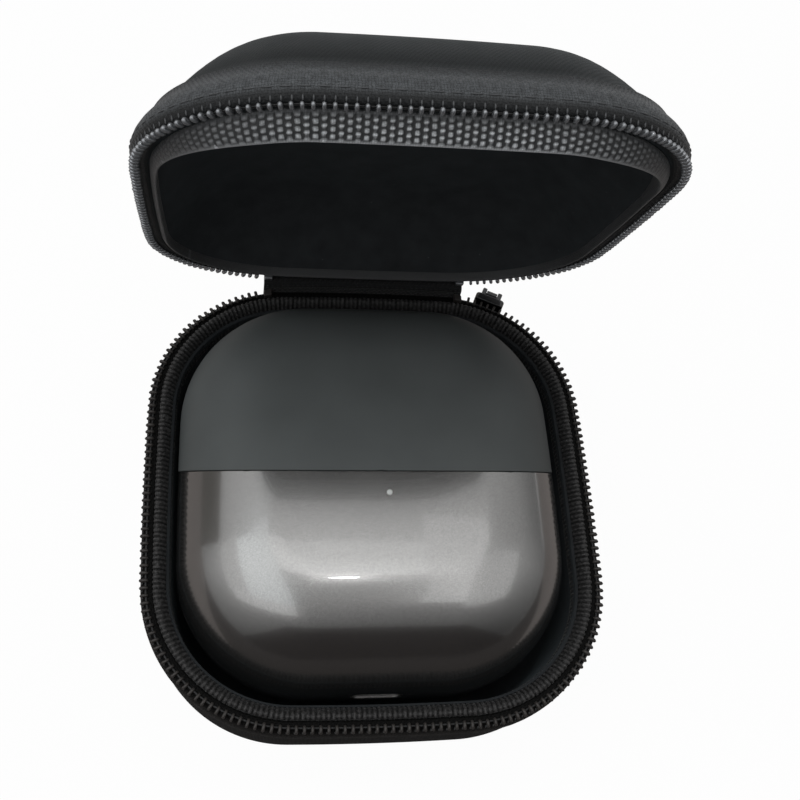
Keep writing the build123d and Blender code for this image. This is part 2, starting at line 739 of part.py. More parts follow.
def outer_blade(row):
    """Comb of half-round slats on a spine, just inside its foil."""
    radius = FOIL_RADIUS - FOIL_WALL - BLADE_CLEARANCE
    spine_middle = (CARRIER_TOP + BLADE_SPINE_TOP) / 2
    spine = Box(CARRIER_X, BLADE_SPINE_TOP - CARRIER_TOP, BLADE_SPINE)
    comb = Pos(0, spine_middle, 0) * spine
    slat = rod_along_x(radius, BLADE_SLAT)
    slat += Pos(0, -radius / 2, 0) * Box(BLADE_SLAT, radius, 2 * radius)
    pitch = (CARRIER_X - BLADE_SLAT) / (BLADE_SLATS - 1)
    for i in range(BLADE_SLATS):
        x = (i - (BLADE_SLATS - 1) / 2) * pitch
        comb += Pos(x, FRAME_TOP, 0) * slat
    return Pos(0, 0, row) * comb


def slit_blade():
    """Toothed bar that cuts inside the slit foil."""
    top = SLIT_TOP - FOIL_WALL - BLADE_CLEARANCE
    bar = Box(CARRIER_X, top - CARRIER_TOP, SLIT_BLADE_WIDTH)
    pitch = CARRIER_X / (SLIT_COUNT + 1)
    for i in range(SLIT_COUNT):
        x = (i - (SLIT_COUNT - 1) / 2) * pitch
        notch = Box(2 * SLIT_CUT, SLIT_CUT * 2, SLIT_BLADE_WIDTH)
        bar -= Pos(x, (top - CARRIER_TOP) / 2, 0) * notch
    return Pos(0, (top + CARRIER_TOP) / 2, 0) * bar


# ---------------------------------------------------------------- assembly


def case_nodes():
    """Every node of the case, in place."""
    place = slider_place()
    base = (BASE_HEIGHT, BASE_EDGE, BASE_DRAFT)
    lid = (LID_HEIGHT, LID_EDGE, LID_DRAFT)
    halves = {
        "shell": (half_shell(*base), half_shell(*lid)),
        "lining": (half_lining(*base), half_lining(*lid)),
        "binding": (half_binding(*base), half_binding(*lid)),
        "zipper_tape": (half_tape(),) * 2,
        "zipper_teeth": (half_teeth(),) * 2,
        "zipper_stops": (half_stops(),) * 2,
    }
    nodes = {}
    for name, (base_half, lid_half) in halves.items():
        nodes["base_" + name] = on_base(base_half)
        nodes["lid_" + name] = on_lid(lid_half)
    nodes["hinge_strip"] = hinge_strip()
    nodes["zipper_slider"] = place * zipper_slider()
    nodes["zipper_pull"] = place * zipper_pull()
    return nodes


def shaver_nodes():
    """Every node of the shaver, in the shaver's own frame."""
    front_shell, rear_shell = body_shells()
    rear_row, middle_row, front_row = foil_rows()
    return {
        "body_front_shell": front_shell,
        "body_rear_shell": rear_shell,
        "body_gasket": gasket_band(),
        "cap_shell": cap_shell(),
        "usb_port": usb_port(),
        "indicator_lamp": indicator_lamp(),
        "power_button": power_button(),
        "button_spring": button_spring(),
        "button_gasket": button_gasket(),
        "tact_switch": tact_switch(),
        "chassis": chassis(),
        "case_screws": case_screws(),
        "battery": battery(),
        "charge_board": charge_board(),
        "control_board": control_board(),
        "motor_yoke": motor_yoke(),
        "motor_coil": motor_coil(),
        "motor_armature": motor_armature(),
        "motor_magnets": motor_magnets(),
        "motor_springs": motor_springs(),
        "drive_pin": drive_pin(),
        "head_base": head_base(),
        "release_button_left": release_button(-1),
        "release_button_right": release_button(1),
        "release_spring_left": release_spring(-1),
        "release_spring_right": release_spring(1),
        "foil_frame": foil_frame(),
        "outer_foil_rear": outer_foil(rear_row),
        "outer_foil_front": outer_foil(front_row),
        "slit_foil": slit_foil(),
        "float_springs": float_springs(),
        "blade_carrier": blade_carrier(),
        "inner_blade_rear": outer_blade(rear_row),
        "inner_blade_front": outer_blade(front_row),
        "slit_blade": slit_blade(),
    }


def main():
    """Build every node and write it as its own STEP file."""
    os.makedirs("parts", exist_ok=True)
    nodes = case_nodes()
    for name, solid in shaver_nodes().items():
        nodes[name] = SHAVER_PLACE * solid
    for name, solid in nodes.items():
        export_step(solid, f"parts/{name}.step")


main()
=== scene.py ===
"""Dressed model of a zipped hard case with a palm-sized shaver in it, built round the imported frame."""

import json
import logging
import math
from contextlib import contextmanager
from dataclasses import dataclass, field
from enum import Enum
from typing import Callable, Iterator, Optional, Sequence

import bmesh
import bpy
import numpy as np
from mathutils import Matrix, Vector

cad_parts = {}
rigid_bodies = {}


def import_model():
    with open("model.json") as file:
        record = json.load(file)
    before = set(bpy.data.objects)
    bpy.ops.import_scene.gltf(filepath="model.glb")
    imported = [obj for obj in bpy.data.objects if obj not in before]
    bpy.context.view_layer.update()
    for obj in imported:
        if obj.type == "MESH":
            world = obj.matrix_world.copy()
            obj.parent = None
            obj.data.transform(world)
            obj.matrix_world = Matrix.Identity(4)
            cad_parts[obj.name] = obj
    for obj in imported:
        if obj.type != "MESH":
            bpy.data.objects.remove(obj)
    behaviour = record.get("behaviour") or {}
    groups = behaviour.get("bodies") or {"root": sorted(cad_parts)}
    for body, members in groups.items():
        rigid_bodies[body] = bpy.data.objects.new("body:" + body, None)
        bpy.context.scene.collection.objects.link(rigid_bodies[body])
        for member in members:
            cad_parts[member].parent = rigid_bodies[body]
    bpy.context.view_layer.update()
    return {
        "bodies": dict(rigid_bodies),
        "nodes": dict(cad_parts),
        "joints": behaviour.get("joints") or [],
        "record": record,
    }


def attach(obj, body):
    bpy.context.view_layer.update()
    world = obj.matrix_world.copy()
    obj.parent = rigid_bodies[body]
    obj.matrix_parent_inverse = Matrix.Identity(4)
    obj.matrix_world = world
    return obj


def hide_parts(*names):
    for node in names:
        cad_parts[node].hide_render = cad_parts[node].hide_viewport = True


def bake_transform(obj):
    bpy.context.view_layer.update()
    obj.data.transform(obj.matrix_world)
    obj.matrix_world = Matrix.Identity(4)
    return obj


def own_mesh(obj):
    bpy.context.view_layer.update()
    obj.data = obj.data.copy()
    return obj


LOG = logging.getLogger("hard_case")
MM = 0.001
FRAME: dict = {}
Colour = tuple[float, float, float]
Looks = dict[str, object]
Point = tuple[float, float, float]
Section = Sequence[tuple[float, float]]


# ------------------------------------------------------------------ meshes


def moved(points: np.ndarray, matrix: Matrix) -> np.ndarray:
    """Rows of points, moved by a matrix."""
    numbers = np.array(matrix)
    return points @ numbers[:3, :3].T + numbers[:3, 3]


def unit(number: float) -> float:
    """Hold a number between 0 and 1."""
    return min(1.0, max(0.0, number))


@contextmanager
def edited(mesh: bpy.types.Mesh) -> Iterator[bmesh.types.BMesh]:
    """Open a mesh for editing, and write it back at the end."""
    bm = bmesh.new()
    bm.from_mesh(mesh)
    yield bm
    bm.to_mesh(mesh)
    bm.free()


def in_scene(name: str, data: bpy.types.ID) -> bpy.types.Object:
    """Make an object at the origin and link it to the scene."""
    obj = bpy.data.objects.new(name, data)
    bpy.context.scene.collection.objects.link(obj)
    return obj


def plain_object(name: str, points: Sequence, faces: Sequence) -> bpy.types.Object:
    """Make an object from points in metres and faces."""
    mesh = bpy.data.meshes.new(name)
    mesh.from_pydata(points, [], faces)
    return in_scene(name, mesh)


def copy_of(obj: bpy.types.Object, name: str) -> bpy.types.Object:
    """Copy an object with its mesh under a new name."""
    twin = in_scene(name, obj.data.copy())
    twin.data.name = name
    return twin


def shade(obj: bpy.types.Object, sharp: float = 40.0) -> None:
    """Shade an object smooth, with its edges above an angle in degrees kept sharp."""
    obj.data.shade_smooth()
    obj.data.set_sharp_from_angle(angle=math.radians(sharp))


def settle(obj: bpy.types.Object) -> None:
    """Turn an object's modifiers into its plain mesh."""
    graph = bpy.context.evaluated_depsgraph_get()
    graph.update()
    mesh = bpy.data.meshes.new_from_object(obj.evaluated_get(graph))
    old = obj.data
    obj.modifiers.clear()
    obj.data = mesh
    bpy.data.meshes.remove(old)
    mesh.name = obj.name


def paint(obj: bpy.types.Object, material: bpy.types.Material) -> None:
    """Give an object one material all over."""
    obj.data.materials.clear()
    obj.data.materials.append(material)


def bevelled(obj: bpy.types.Object, width: float, segments: int = 2, angle: float = 35.0) -> None:
    """Round an object's edges.

    Args:
        obj: the object.
        width: of the rounding, in millimetres.
        segments: across the rounding.
        angle: above which an edge is rounded, in degrees.
    """
    bevel = obj.modifiers.new("bevel", "BEVEL")
    bevel.width = width * MM
    bevel.segments = segments
    bevel.limit_method = "ANGLE"
    bevel.angle_limit = math.radians(angle)
    bevel.use_clamp_overlap = True
    bevel.harden_normals = True
    settle(obj)


def softened(name: str, node: str, width: float, segments: int = 2) -> bpy.types.Object:
    """Copy a CAD node and round its edges.

    Args:
        name: the new piece's name.
        node: the CAD node.
        width: of the rounding, in millimetres.
        segments: across the rounding.

    Returns:
        The new object.
    """
    obj = copy_of(FRAME["nodes"][node], name)
    with edited(obj.data) as bm:
        bmesh.ops.remove_doubles(bm, verts=bm.verts, dist=0.005 * MM)
        bmesh.ops.dissolve_limit(bm, angle_limit=math.radians(1.0), verts=bm.verts, edges=bm.edges)
        bmesh.ops.recalc_face_normals(bm, faces=bm.faces)
    shade(obj, 30.0)
    bevelled(obj, width, segments)
    return obj


def hand_over(
    obj: bpy.types.Object, body: str, slot: str, material: bpy.types.Material, *nodes: str
) -> None:
    """Paint a finished piece, make it ride on its body and stand for its CAD nodes.

    Args:
        obj: the piece.
        body: the CAD body that it moves with.
        slot: the material slot of the record; not used.
        material: its finish.
        nodes: the CAD nodes that it replaces.
    """
    paint(obj, material)
    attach(obj, body)
    if nodes:
        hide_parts(*nodes)
    LOG.info("%s rides on %s: %d faces", obj.name, body, len(obj.data.polygons))


class Draft:
    """Points, faces and UVs of one piece, in millimetres, before it becomes a mesh."""

    def __init__(self) -> None:
        """Start empty."""
        self.points: list[np.ndarray] = []
        self.faces: list[tuple[int, ...]] = []
        self.uvs: list[tuple[float, float]] = []
        self.total = 0

    def add(self, points: np.ndarray) -> np.ndarray:
        """Add rows of X, Y and Z, and give the indices of the new points."""
        self.points.append(np.asarray(points, float))
        ids = np.arange(self.total, self.total + len(points))
        self.total += len(points)
        return ids

    def face(self, ids: Sequence[int], uvs: Sequence[tuple[float, float]]) -> None:
        """Add one face with a UV for each of its corners."""
        self.faces.append(tuple(int(i) for i in ids))
        self.uvs.extend(uvs)

    def blank(self, ids: Sequence[int]) -> None:
        """Add one face without a pattern of its own."""
        self.face(ids, [(0.0, 0.0)] * len(ids))

    def band(
        self, low: np.ndarray, high: np.ndarray, along: np.ndarray, across: tuple[float, float]
    ) -> None:
        """Join two closed rings of points with quads.

        Args:
            low: indices of one ring.
            high: indices of the other ring, in step with the first.
            along: distance along the ring at each point and, last, its whole length.
            across: distance across at the first ring and at the second.
        """
        v_low, v_high = across
        for i in range(len(low)):
            j = (i + 1) % len(low)
            u0, u1 = along[i], along[i + 1]
            corners = [(u0, v_low), (u1, v_low), (u1, v_high), (u0, v_high)]
            self.face((low[i], low[j], high[j], high[i]), corners)

    def tube(
        self, rings: Sequence[np.ndarray], along: np.ndarray, closed: bool = False
    ) -> list[np.ndarray]:
        """Join a row of rings.

        Args:
            rings: points of each ring, all in step.
            along: distance along a ring at each point and its whole length.
            closed: whether the last ring joins the first one.

        Returns:
            The indices of each ring.
        """
        ids = [self.add(ring) for ring in rings]
        across = 0.0
        for k in range(len(rings) if closed else len(rings) - 1):
            nxt = (k + 1) % len(rings)
            step = float(np.mean(np.linalg.norm(rings[nxt] - rings[k], axis=1)))
            self.band(ids[k], ids[nxt], along, (across, across + step))
            across += step
        return ids

    def patch(self, ring: np.ndarray, ids: np.ndarray, height: Callable) -> None:
        """Fill a closed ring with an even net of quads.

        Args:
            ring: the ring's points; their number divides by eight.
            ids: the ring's indices.
            height: gives Z from arrays of X and Y.
        """
        eighth = len(ring) // 8
        side = 2 * eighth
        rear = np.roll(np.arange(len(ring)), eighth)[: side + 1]
        right = np.arange(eighth, 3 * eighth + 1)
        front = np.arange(3 * eighth, 5 * eighth + 1)[::-1]
        left = np.arange(5 * eighth, 7 * eighth + 1)[::-1]
        net = np.zeros((side + 1, side + 1), int)
        net[0, :], net[-1, :] = ids[rear], ids[front]
        net[:, 0], net[:, -1] = ids[left], ids[right]
        plan = ring[:, :2]
        u = np.linspace(0, 1, side + 1)[None, :, None]
        v = np.linspace(0, 1, side + 1)[:, None, None]
        top, bottom = plan[rear][None], plan[front][None]
        west, east = plan[left][:, None], plan[right][:, None]
        ruled = (1 - v) * top + v * bottom + (1 - u) * west + u * east
        c00, c10 = plan[rear[0]], plan[rear[-1]]
        c01, c11 = plan[front[0]], plan[front[-1]]
        ruled -= (1 - u) * (1 - v) * c00 + u * (1 - v) * c10 + (1 - u) * v * c01 + u * v * c11
        inner = ruled[1:-1, 1:-1].reshape(-1, 2)
        z = height(inner[:, 0], inner[:, 1])
        net[1:-1, 1:-1] = self.add(np.c_[inner, z]).reshape(side - 1, side - 1)
        for i in range(side):
            for j in range(side):
                cells = [(i, j), (i, j + 1), (i + 1, j + 1), (i + 1, j)]
                self.face([net[cell] for cell in cells], [tuple(ruled[cell]) for cell in cells])

    def build(
        self, name: str, place: Optional[Matrix] = None, sharp: float = 40.0
    ) -> bpy.types.Object:
        """Make the mesh object.

        Args:
            name: the piece's name.
            place: from the piece's own millimetres to the row frame's millimetres.
            sharp: angle above which an edge is drawn sharp, in degrees.

        Returns:
            The new object, at the origin, with outward faces.
        """
        points = moved(np.vstack(self.points), Matrix.Identity(4) if place is None else place)
        obj = plain_object(name, (points * MM).tolist(), self.faces)
        layer = obj.data.uv_layers.new(name="UVMap")
        layer.data.foreach_set("uv", np.array(self.uvs, np.float32).ravel())
        with edited(obj.data) as bm:
            bmesh.ops.recalc_face_normals(bm, faces=bm.faces)
        shade(obj, sharp)
        return obj


# ------------------------------------------------------------------ outlines


@dataclass(frozen=True)
class Outline:
    """Plan outline with four gently bowed sides and round corners, in millimetres."""

    width: float
    depth: float
    corner: float
    bow: float
    count: int = 256
    arc_steps: int = 400
    points: np.ndarray = field(init=False, repr=False)
    outward: np.ndarray = field(init=False, repr=False)

    def __post_init__(self) -> None:
        """Work out the outline's points and outward directions, from the rear middle to the right."""
        quarter = self._quarter()
        sides = ((1, 1, True), (1, -1, False), (-1, -1, True), (-1, 1, False))
        for name, rows in zip(("points", "outward"), quarter):
            turned = []
            for sx, sy, forward in sides:
                step = slice(None, -1) if forward else slice(None, 0, -1)
                turned.append(rows[step] * (sx, sy))
            object.__setattr__(self, name, np.vstack(turned))

    def corner_centre(self) -> tuple[np.ndarray, np.ndarray, np.ndarray, float, float]:
        """Work out the centres of the rear right corner's arc and of the sides beside it.

        Returns:
            The centres of the corner, rear side and right side, and the radii of the two sides.
        """
        x, y = self.width / 2 - self.bow, self.depth / 2 - self.bow
        rear_radius = (x * x + self.bow**2) / (2 * self.bow)
        side_radius = (y * y + self.bow**2) / (2 * self.bow)
        rear = np.array((0.0, self.depth / 2 - rear_radius))
        side = np.array((self.width / 2 - side_radius, 0.0))
        a, b = rear_radius - self.corner, side_radius - self.corner
        span = side - rear
        gap = float(np.linalg.norm(span))
        along = (a * a - b * b + gap * gap) / (2 * gap)
        off = math.sqrt(a * a - along * along)
        ahead = span / gap
        turned = np.array((-ahead[1], ahead[0]))
        options = [rear + along * ahead + sign * off * turned for sign in (-1, 1)]
        return max(options, key=sum), rear, side, rear_radius, side_radius

    def _quarter(self) -> tuple[np.ndarray, np.ndarray]:
        """Points and outward directions of the rear right quarter, both ends included."""
        centre, rear, side, rear_radius, side_radius = self.corner_centre()
        first = math.atan2(*(centre - rear)[::-1])
        second = math.atan2(*(centre - side)[::-1])
        arcs = (
            (rear, rear_radius, math.pi / 2, first),
            (centre, self.corner, first, second),
            (side, side_radius, second, 0.0),
        )
        fine_points, fine_outward, lengths = [], [], []
        for middle, radius, start, end in arcs:
            turns = np.linspace(start, end, self.arc_steps)
            ray = np.c_[np.cos(turns), np.sin(turns)]
            fine_points.append(middle + radius * ray)
            fine_outward.append(ray)
            lengths.append(radius * abs(end - start))
        points, outward = np.vstack(fine_points), np.vstack(fine_outward)
        steps = np.linalg.norm(np.diff(points, axis=0), axis=1)
        along = np.r_[0, np.cumsum(steps)]
        middle = lengths[0] + lengths[1] / 2
        places = self.count // 8 + 1
        stops = np.r_[np.linspace(0, middle, places)[:-1], np.linspace(middle, along[-1], places)]
        return self._read(points, along, stops), self._read(outward, along, stops)

    @staticmethod
    def _read(values: np.ndarray, along: np.ndarray, stops: np.ndarray) -> np.ndarray:
        """Rows of values at the given distances."""
        return np.c_[np.interp(stops, along, values[:, 0]), np.interp(stops, along, values[:, 1])]

    def along(self, inset: float = 0.0) -> np.ndarray:
        """Distance along the moved-in outline at each point and, last, its whole length."""
        ring = self.points - inset * self.outward
        steps = np.linalg.norm(np.roll(ring, -1, axis=0) - ring, axis=1)
        return np.r_[0, np.cumsum(steps)]

    def ring(self, inset: np.ndarray | float, z: np.ndarray | float) -> np.ndarray:
        """Outline moved in by inset, at height z; both may change along it."""
        inset = np.broadcast_to(np.asarray(inset, float), (self.count,))
        plan = self.points - inset[:, None] * self.outward
        return np.c_[plan, np.broadcast_to(np.asarray(z, float), (self.count,))]

    def stations(
        self, inset: float, start: float, end: float, count: int
    ) -> tuple[np.ndarray, np.ndarray]:
        """Evenly spaced places along the moved-in outline.

        Args:
            inset: how far in from the outline.
            start: distance along it of the first place.
            end: distance along it of the last place.
            count: number of places.

        Returns:
            Their plan positions and outward directions.
        """
        along, stops = self.along(inset), np.linspace(start, end, count)
        rows = (self.points - inset * self.outward, self.outward)
        plan, outward = (self._read(np.vstack([row, row[:1]]), along, stops) for row in rows)
        return plan, outward


# ------------------------------------------------------------------ node wiring


class Value:
    """Number that runs between nodes; sums with it add Math nodes."""

    def __init__(self, wiring: "Wiring", socket: bpy.types.NodeSocket) -> None:
        """Wrap an output socket."""
        self.wiring, self.socket = wiring, socket

    def __add__(self, other: "Value | float") -> "Value":
        """This number plus another."""
        return self.wiring.math("ADD", self, other)

    def __sub__(self, other: "Value | float") -> "Value":
        """This number less another."""
        return self.wiring.math("SUBTRACT", self, other)

    def __rsub__(self, other: float) -> "Value":
        """A plain number less this one."""
        return self.wiring.math("SUBTRACT", other, self)

    def __mul__(self, other: "Value | float") -> "Value":
        """This number times another."""
        return self.wiring.math("MULTIPLY", self, other)

    def __truediv__(self, other: "Value | float") -> "Value":
        """This number divided by another."""
        return self.wiring.math("DIVIDE", self, other)

    def __rtruediv__(self, other: float) -> "Value":
        """A plain number divided by this one."""
        return self.wiring.math("DIVIDE", other, self)


class Wiring:
    """Short ways to add and join nodes in one tree."""

    def __init__(self, tree: bpy.types.NodeTree) -> None:
        """Work on the given tree."""
        self.tree = tree

    def node(self, kind: str, inputs: Optional[dict] = None, **settings) -> bpy.types.Node:
        """Add a node.

        Args:
            kind: the node's type.
            inputs: what its inputs get, by their names or numbers.
            settings: the node's own properties.

        Returns:
            The new node.
        """
        node = self.tree.nodes.new(kind)
        for key, value in settings.items():
            setattr(node, key, value)
        self.feed(node, inputs or {})
        return node

    def feed(self, node: bpy.types.Node, inputs: dict) -> None:
        """Join sockets to a node's inputs, and set the other inputs to plain constants."""
        for key, value in inputs.items():
            target = node.inputs[key]
            if isinstance(value, Value):
                value = value.socket
            if isinstance(value, bpy.types.NodeSocket):
                self.tree.links.new(value, target)
            elif target.type == "RGBA":
                target.default_value = (*value, 1.0)
            else:
                target.default_value = value

    def math(self, operation: str, first, second=0.0) -> Value:
        """Add a Math node and give its result."""
        node = self.node("ShaderNodeMath", {0: first, 1: second}, operation=operation)
        return Value(self, node.outputs[0])

    def axes(self, vector) -> list[Value]:
        """Split a vector into X, Y and Z."""
        node = self.node("ShaderNodeSeparateXYZ", {0: vector})
        return [Value(self, socket) for socket in node.outputs]

    def noise(self, vector, scale, detail: float) -> Value:
        """Add a noise texture and give its value."""
        inputs = {"Vector": vector, "Scale": scale, "Detail": detail}
        return Value(self, self.node("ShaderNodeTexNoise", inputs).outputs["Fac"])

    def group(self, name: str, vector, **numbers: float) -> dict[str, Value]:
        """Add a shared group with its own numbers and give its results by name."""
        inputs = {"Vector": vector, **{key.replace("_", " "): n for key, n in numbers.items()}}
        node = self.node("ShaderNodeGroup", node_tree=Groups.get(name))
        self.feed(node, inputs)
        return {socket.name: Value(self, socket) for socket in node.outputs}

    def blend(self, mask, low, high, clamped: bool = True) -> bpy.types.NodeSocket:
        """Mix two colours by a mask."""
        inputs = {0: mask, 6: low, 7: high}
        node = self.node("ShaderNodeMix", data_type="RGBA", clamp_factor=clamped)
        self.feed(node, inputs)
        return node.outputs[2]

    def spread(self, value, low: float, high: float) -> Value:
        """Map 0 to 1 on low to high, without going beyond them."""
        inputs = {"Value": value, "To Min": low, "To Max": high}
        return Value(self, self.node("ShaderNodeMapRange", inputs).outputs["Result"])

    def clamp(self, value, top: float = 1.0) -> Value:
        """Hold a number between zero and a top."""
        node = self.node("ShaderNodeClamp", {"Value": value, "Max": top})
        return Value(self, node.outputs["Result"])

    def raised(self) -> Value:
        """How far a place of the mesh stands out of what is round it; half means not at all."""
        return Value(self, self.node("ShaderNodeNewGeometry").outputs["Pointiness"])

    def bump(self, height, distance: float, strength: float = 1.0) -> bpy.types.NodeSocket:
        """Add a Bump node; distance is in millimetres."""
        inputs = {"Height": height, "Distance": distance * MM, "Strength": strength}
        return self.node("ShaderNodeBump", inputs).outputs["Normal"]


class Groups:
    """Shader node groups that several finishes share; each is built once."""

    made: dict[str, bpy.types.NodeTree] = {}
    defaults: dict[str, dict[str, float]] = {
        "weave": {"Pitch U": 0.5, "Pitch V": 0.5, "Waver": 0.1},
        "grain": {"Size": 0.3, "Rough": 0.6},
        "dust": {"Size": 1.2, "Amount": 0.1},
        "wear": {"Size": 2.0, "Amount": 0.5},
    }

    @classmethod
    def get(cls, name: str) -> bpy.types.NodeTree:
        """Give a group by its name, building it the first time."""
        if name not in cls.made:
            cls.made[name] = cls._build(name)
        return cls.made[name]

    @classmethod
    def _build(cls, name: str) -> bpy.types.NodeTree:
        """Make a group with a vector and its numbers as inputs, and numbers as outputs."""
        tree = bpy.data.node_groups.new(name, "ShaderNodeTree")
        socket = tree.interface.new_socket
        socket("Vector", in_out="INPUT", socket_type="NodeSocketVector")
        for key, number in cls.defaults[name].items():
            socket(key, in_out="INPUT", socket_type="NodeSocketFloat").default_value = number
        w = Wiring(tree)
        given = w.node("NodeGroupInput").outputs
        numbers = [Value(w, given[key]) for key in cls.defaults[name]]
        results = getattr(cls, f"_{name}")(w, given["Vector"], *numbers)
        for key in results:
            socket(key, in_out="OUTPUT", socket_type="NodeSocketFloat")
        w.node("NodeGroupOutput", results)
        return tree

    @staticmethod
    def _weave(w: Wiring, here, pitch_u: Value, pitch_v: Value, waver: Value) -> dict[str, Value]:
        """Plain weave: crossing threads of a given pitch on the first two coordinates."""
        shift = (w.noise(here, 1.3, 2.0) - 0.5) * waver
        x, y, _ = w.axes(here)
        turns = [(a + shift) / pitch * math.pi for a, pitch in ((x, pitch_u), (y, pitch_v))]
        waves = [w.math("SINE", turn) for turn in turns]
        over = w.math("GREATER_THAN", waves[0] * waves[1])
        warp, weft = (w.math("POWER", w.math("ABSOLUTE", wave), 0.7) for wave in waves)
        return {"Height": warp * over + weft * (1.0 - over)}

    @staticmethod
    def _grain(w: Wiring, here, size: Value, rough: Value) -> dict[str, Value]:
        """Fine uneven grain of a moulded or knitted surface."""
        scale = 1.0 / size
        fine, broad = w.noise(here, scale, 3.0), w.noise(here, scale * 0.13, 2.0)
        return {"Height": fine * rough + broad * (1.0 - rough), "Value": broad}

    @staticmethod
    def _dust(w: Wiring, here, size: Value, amount: Value) -> dict[str, Value]:
        """Sparse specks and faint smears."""
        cells = w.node("ShaderNodeTexVoronoi", {"Vector": here, "Scale": 1.0 / size})
        specks = w.math("LESS_THAN", cells.outputs["Distance"], amount)
        return {"Specks": specks, "Smear": w.noise(here, 0.09, 3.0)}

    @staticmethod
    def _wear(w: Wiring, here, size: Value, amount: Value) -> dict[str, Value]:
        """Mask of rubbed places, strongest on the mesh's outward edges."""
        edge = w.math("SMOOTH_MIN", w.raised(), 1.0)
        patchy = w.noise(here, 1.0 / size, 4.0)
        return {"Mask": w.clamp((edge - 0.53) * 9.0 * patchy * amount)}


# ------------------------------------------------------------------ finishes


def new_material(name: str) -> tuple[bpy.types.Material, Wiring, bpy.types.Node]:
    """Make a material, and give it with its wiring and its Principled shader."""
    material = bpy.data.materials.new(name)
    material.use_nodes = True
    return material, Wiring(material.node_tree), material.node_tree.nodes["Principled BSDF"]


@dataclass(frozen=True)
class Finish:
    """Base of every finish: a material whose patterns are in millimetres."""

    name: str
    colour: Colour
    roughness: float

    def build(self) -> bpy.types.Material:
        """Make the material, with its Principled shader dressed."""
        material, wiring, shader = new_material(self.name)
        material.diffuse_color = (*self.colour, 1.0)
        wiring.feed(shader, self.looks(wiring))
        return material

    def looks(self, w: Wiring) -> Looks:
        """Add the finish's own nodes and give what the shader's inputs get."""
        raise NotImplementedError

    @staticmethod
    def space(w: Wiring, turn: float = 0.0) -> bpy.types.NodeSocket:
        """Object coordinates in millimetres, turned about X by an angle in degrees."""
        inputs = {
            "Vector": w.node("ShaderNodeTexCoord").outputs["Object"],
            "Scale": (1 / MM, 1 / MM, 1 / MM),
            "Rotation": (math.radians(turn), 0.0, 0.0),
        }
        return w.node("ShaderNodeMapping", inputs).outputs["Vector"]

    def shades(self, w: Wiring, mask, low: float, high: float, clamped: bool = True):
        """The finish's colour, darker and lighter, mixed by a mask."""
        ends = (tuple(c * share for c in self.colour) for share in (low, high))
        return w.blend(mask, *ends, clamped)

    def lighter(self, share: float, lift: float) -> Colour:
        """The finish's colour where it is rubbed or dusty."""
        return tuple(min(1.0, c * share + lift) for c in self.colour)

    def rough(self, w: Wiring, mask, below: float, above: float) -> Value:
        """The finish's roughness, varied by a mask."""
        return w.spread(mask, self.roughness - below, self.roughness + above)


@dataclass(frozen=True)
class KnitFinish(Finish):
    """Smooth knitted fabric laminated on foam."""

    thread: float = 0.32
    sheen: float = 0.3
    turn: float = 0.0
    shine: float = 0.18

    def looks(self, w: Wiring) -> Looks:
        """Fine crossing threads, slow shade changes and a soft sheen."""
        here = self.space(w, self.turn)
        x, y, z = w.axes(here)
        lifted = z * 0.7
        flat = w.node("ShaderNodeCombineXYZ", {"X": x + lifted, "Y": y + lifted}).outputs[0]
        weave = w.group("weave", flat, Pitch_U=self.thread, Pitch_V=self.thread, Waver=0.2)["Height"]
        grain = w.group("grain", here, Size=0.5, Rough=0.5)
        specks = w.group("dust", here, Size=2.6, Amount=0.035)["Specks"]
        tone = grain["Value"] * 0.85 + weave * 0.15
        return {
            "Base Color": w.blend(specks, self.shades(w, tone, 0.6, 1.45), self.lighter(3, 0.02)),
            "Roughness": self.rough(w, grain["Value"], 0.08, 0.08),
            "Specular IOR Level": self.shine,
            "Sheen Weight": self.sheen,
            "Sheen Roughness": 0.45,
            "Sheen Tint": (0.6, 0.72, 0.78),
            "Normal": w.bump(weave + grain["Height"] * 1.5, 0.014),
        }


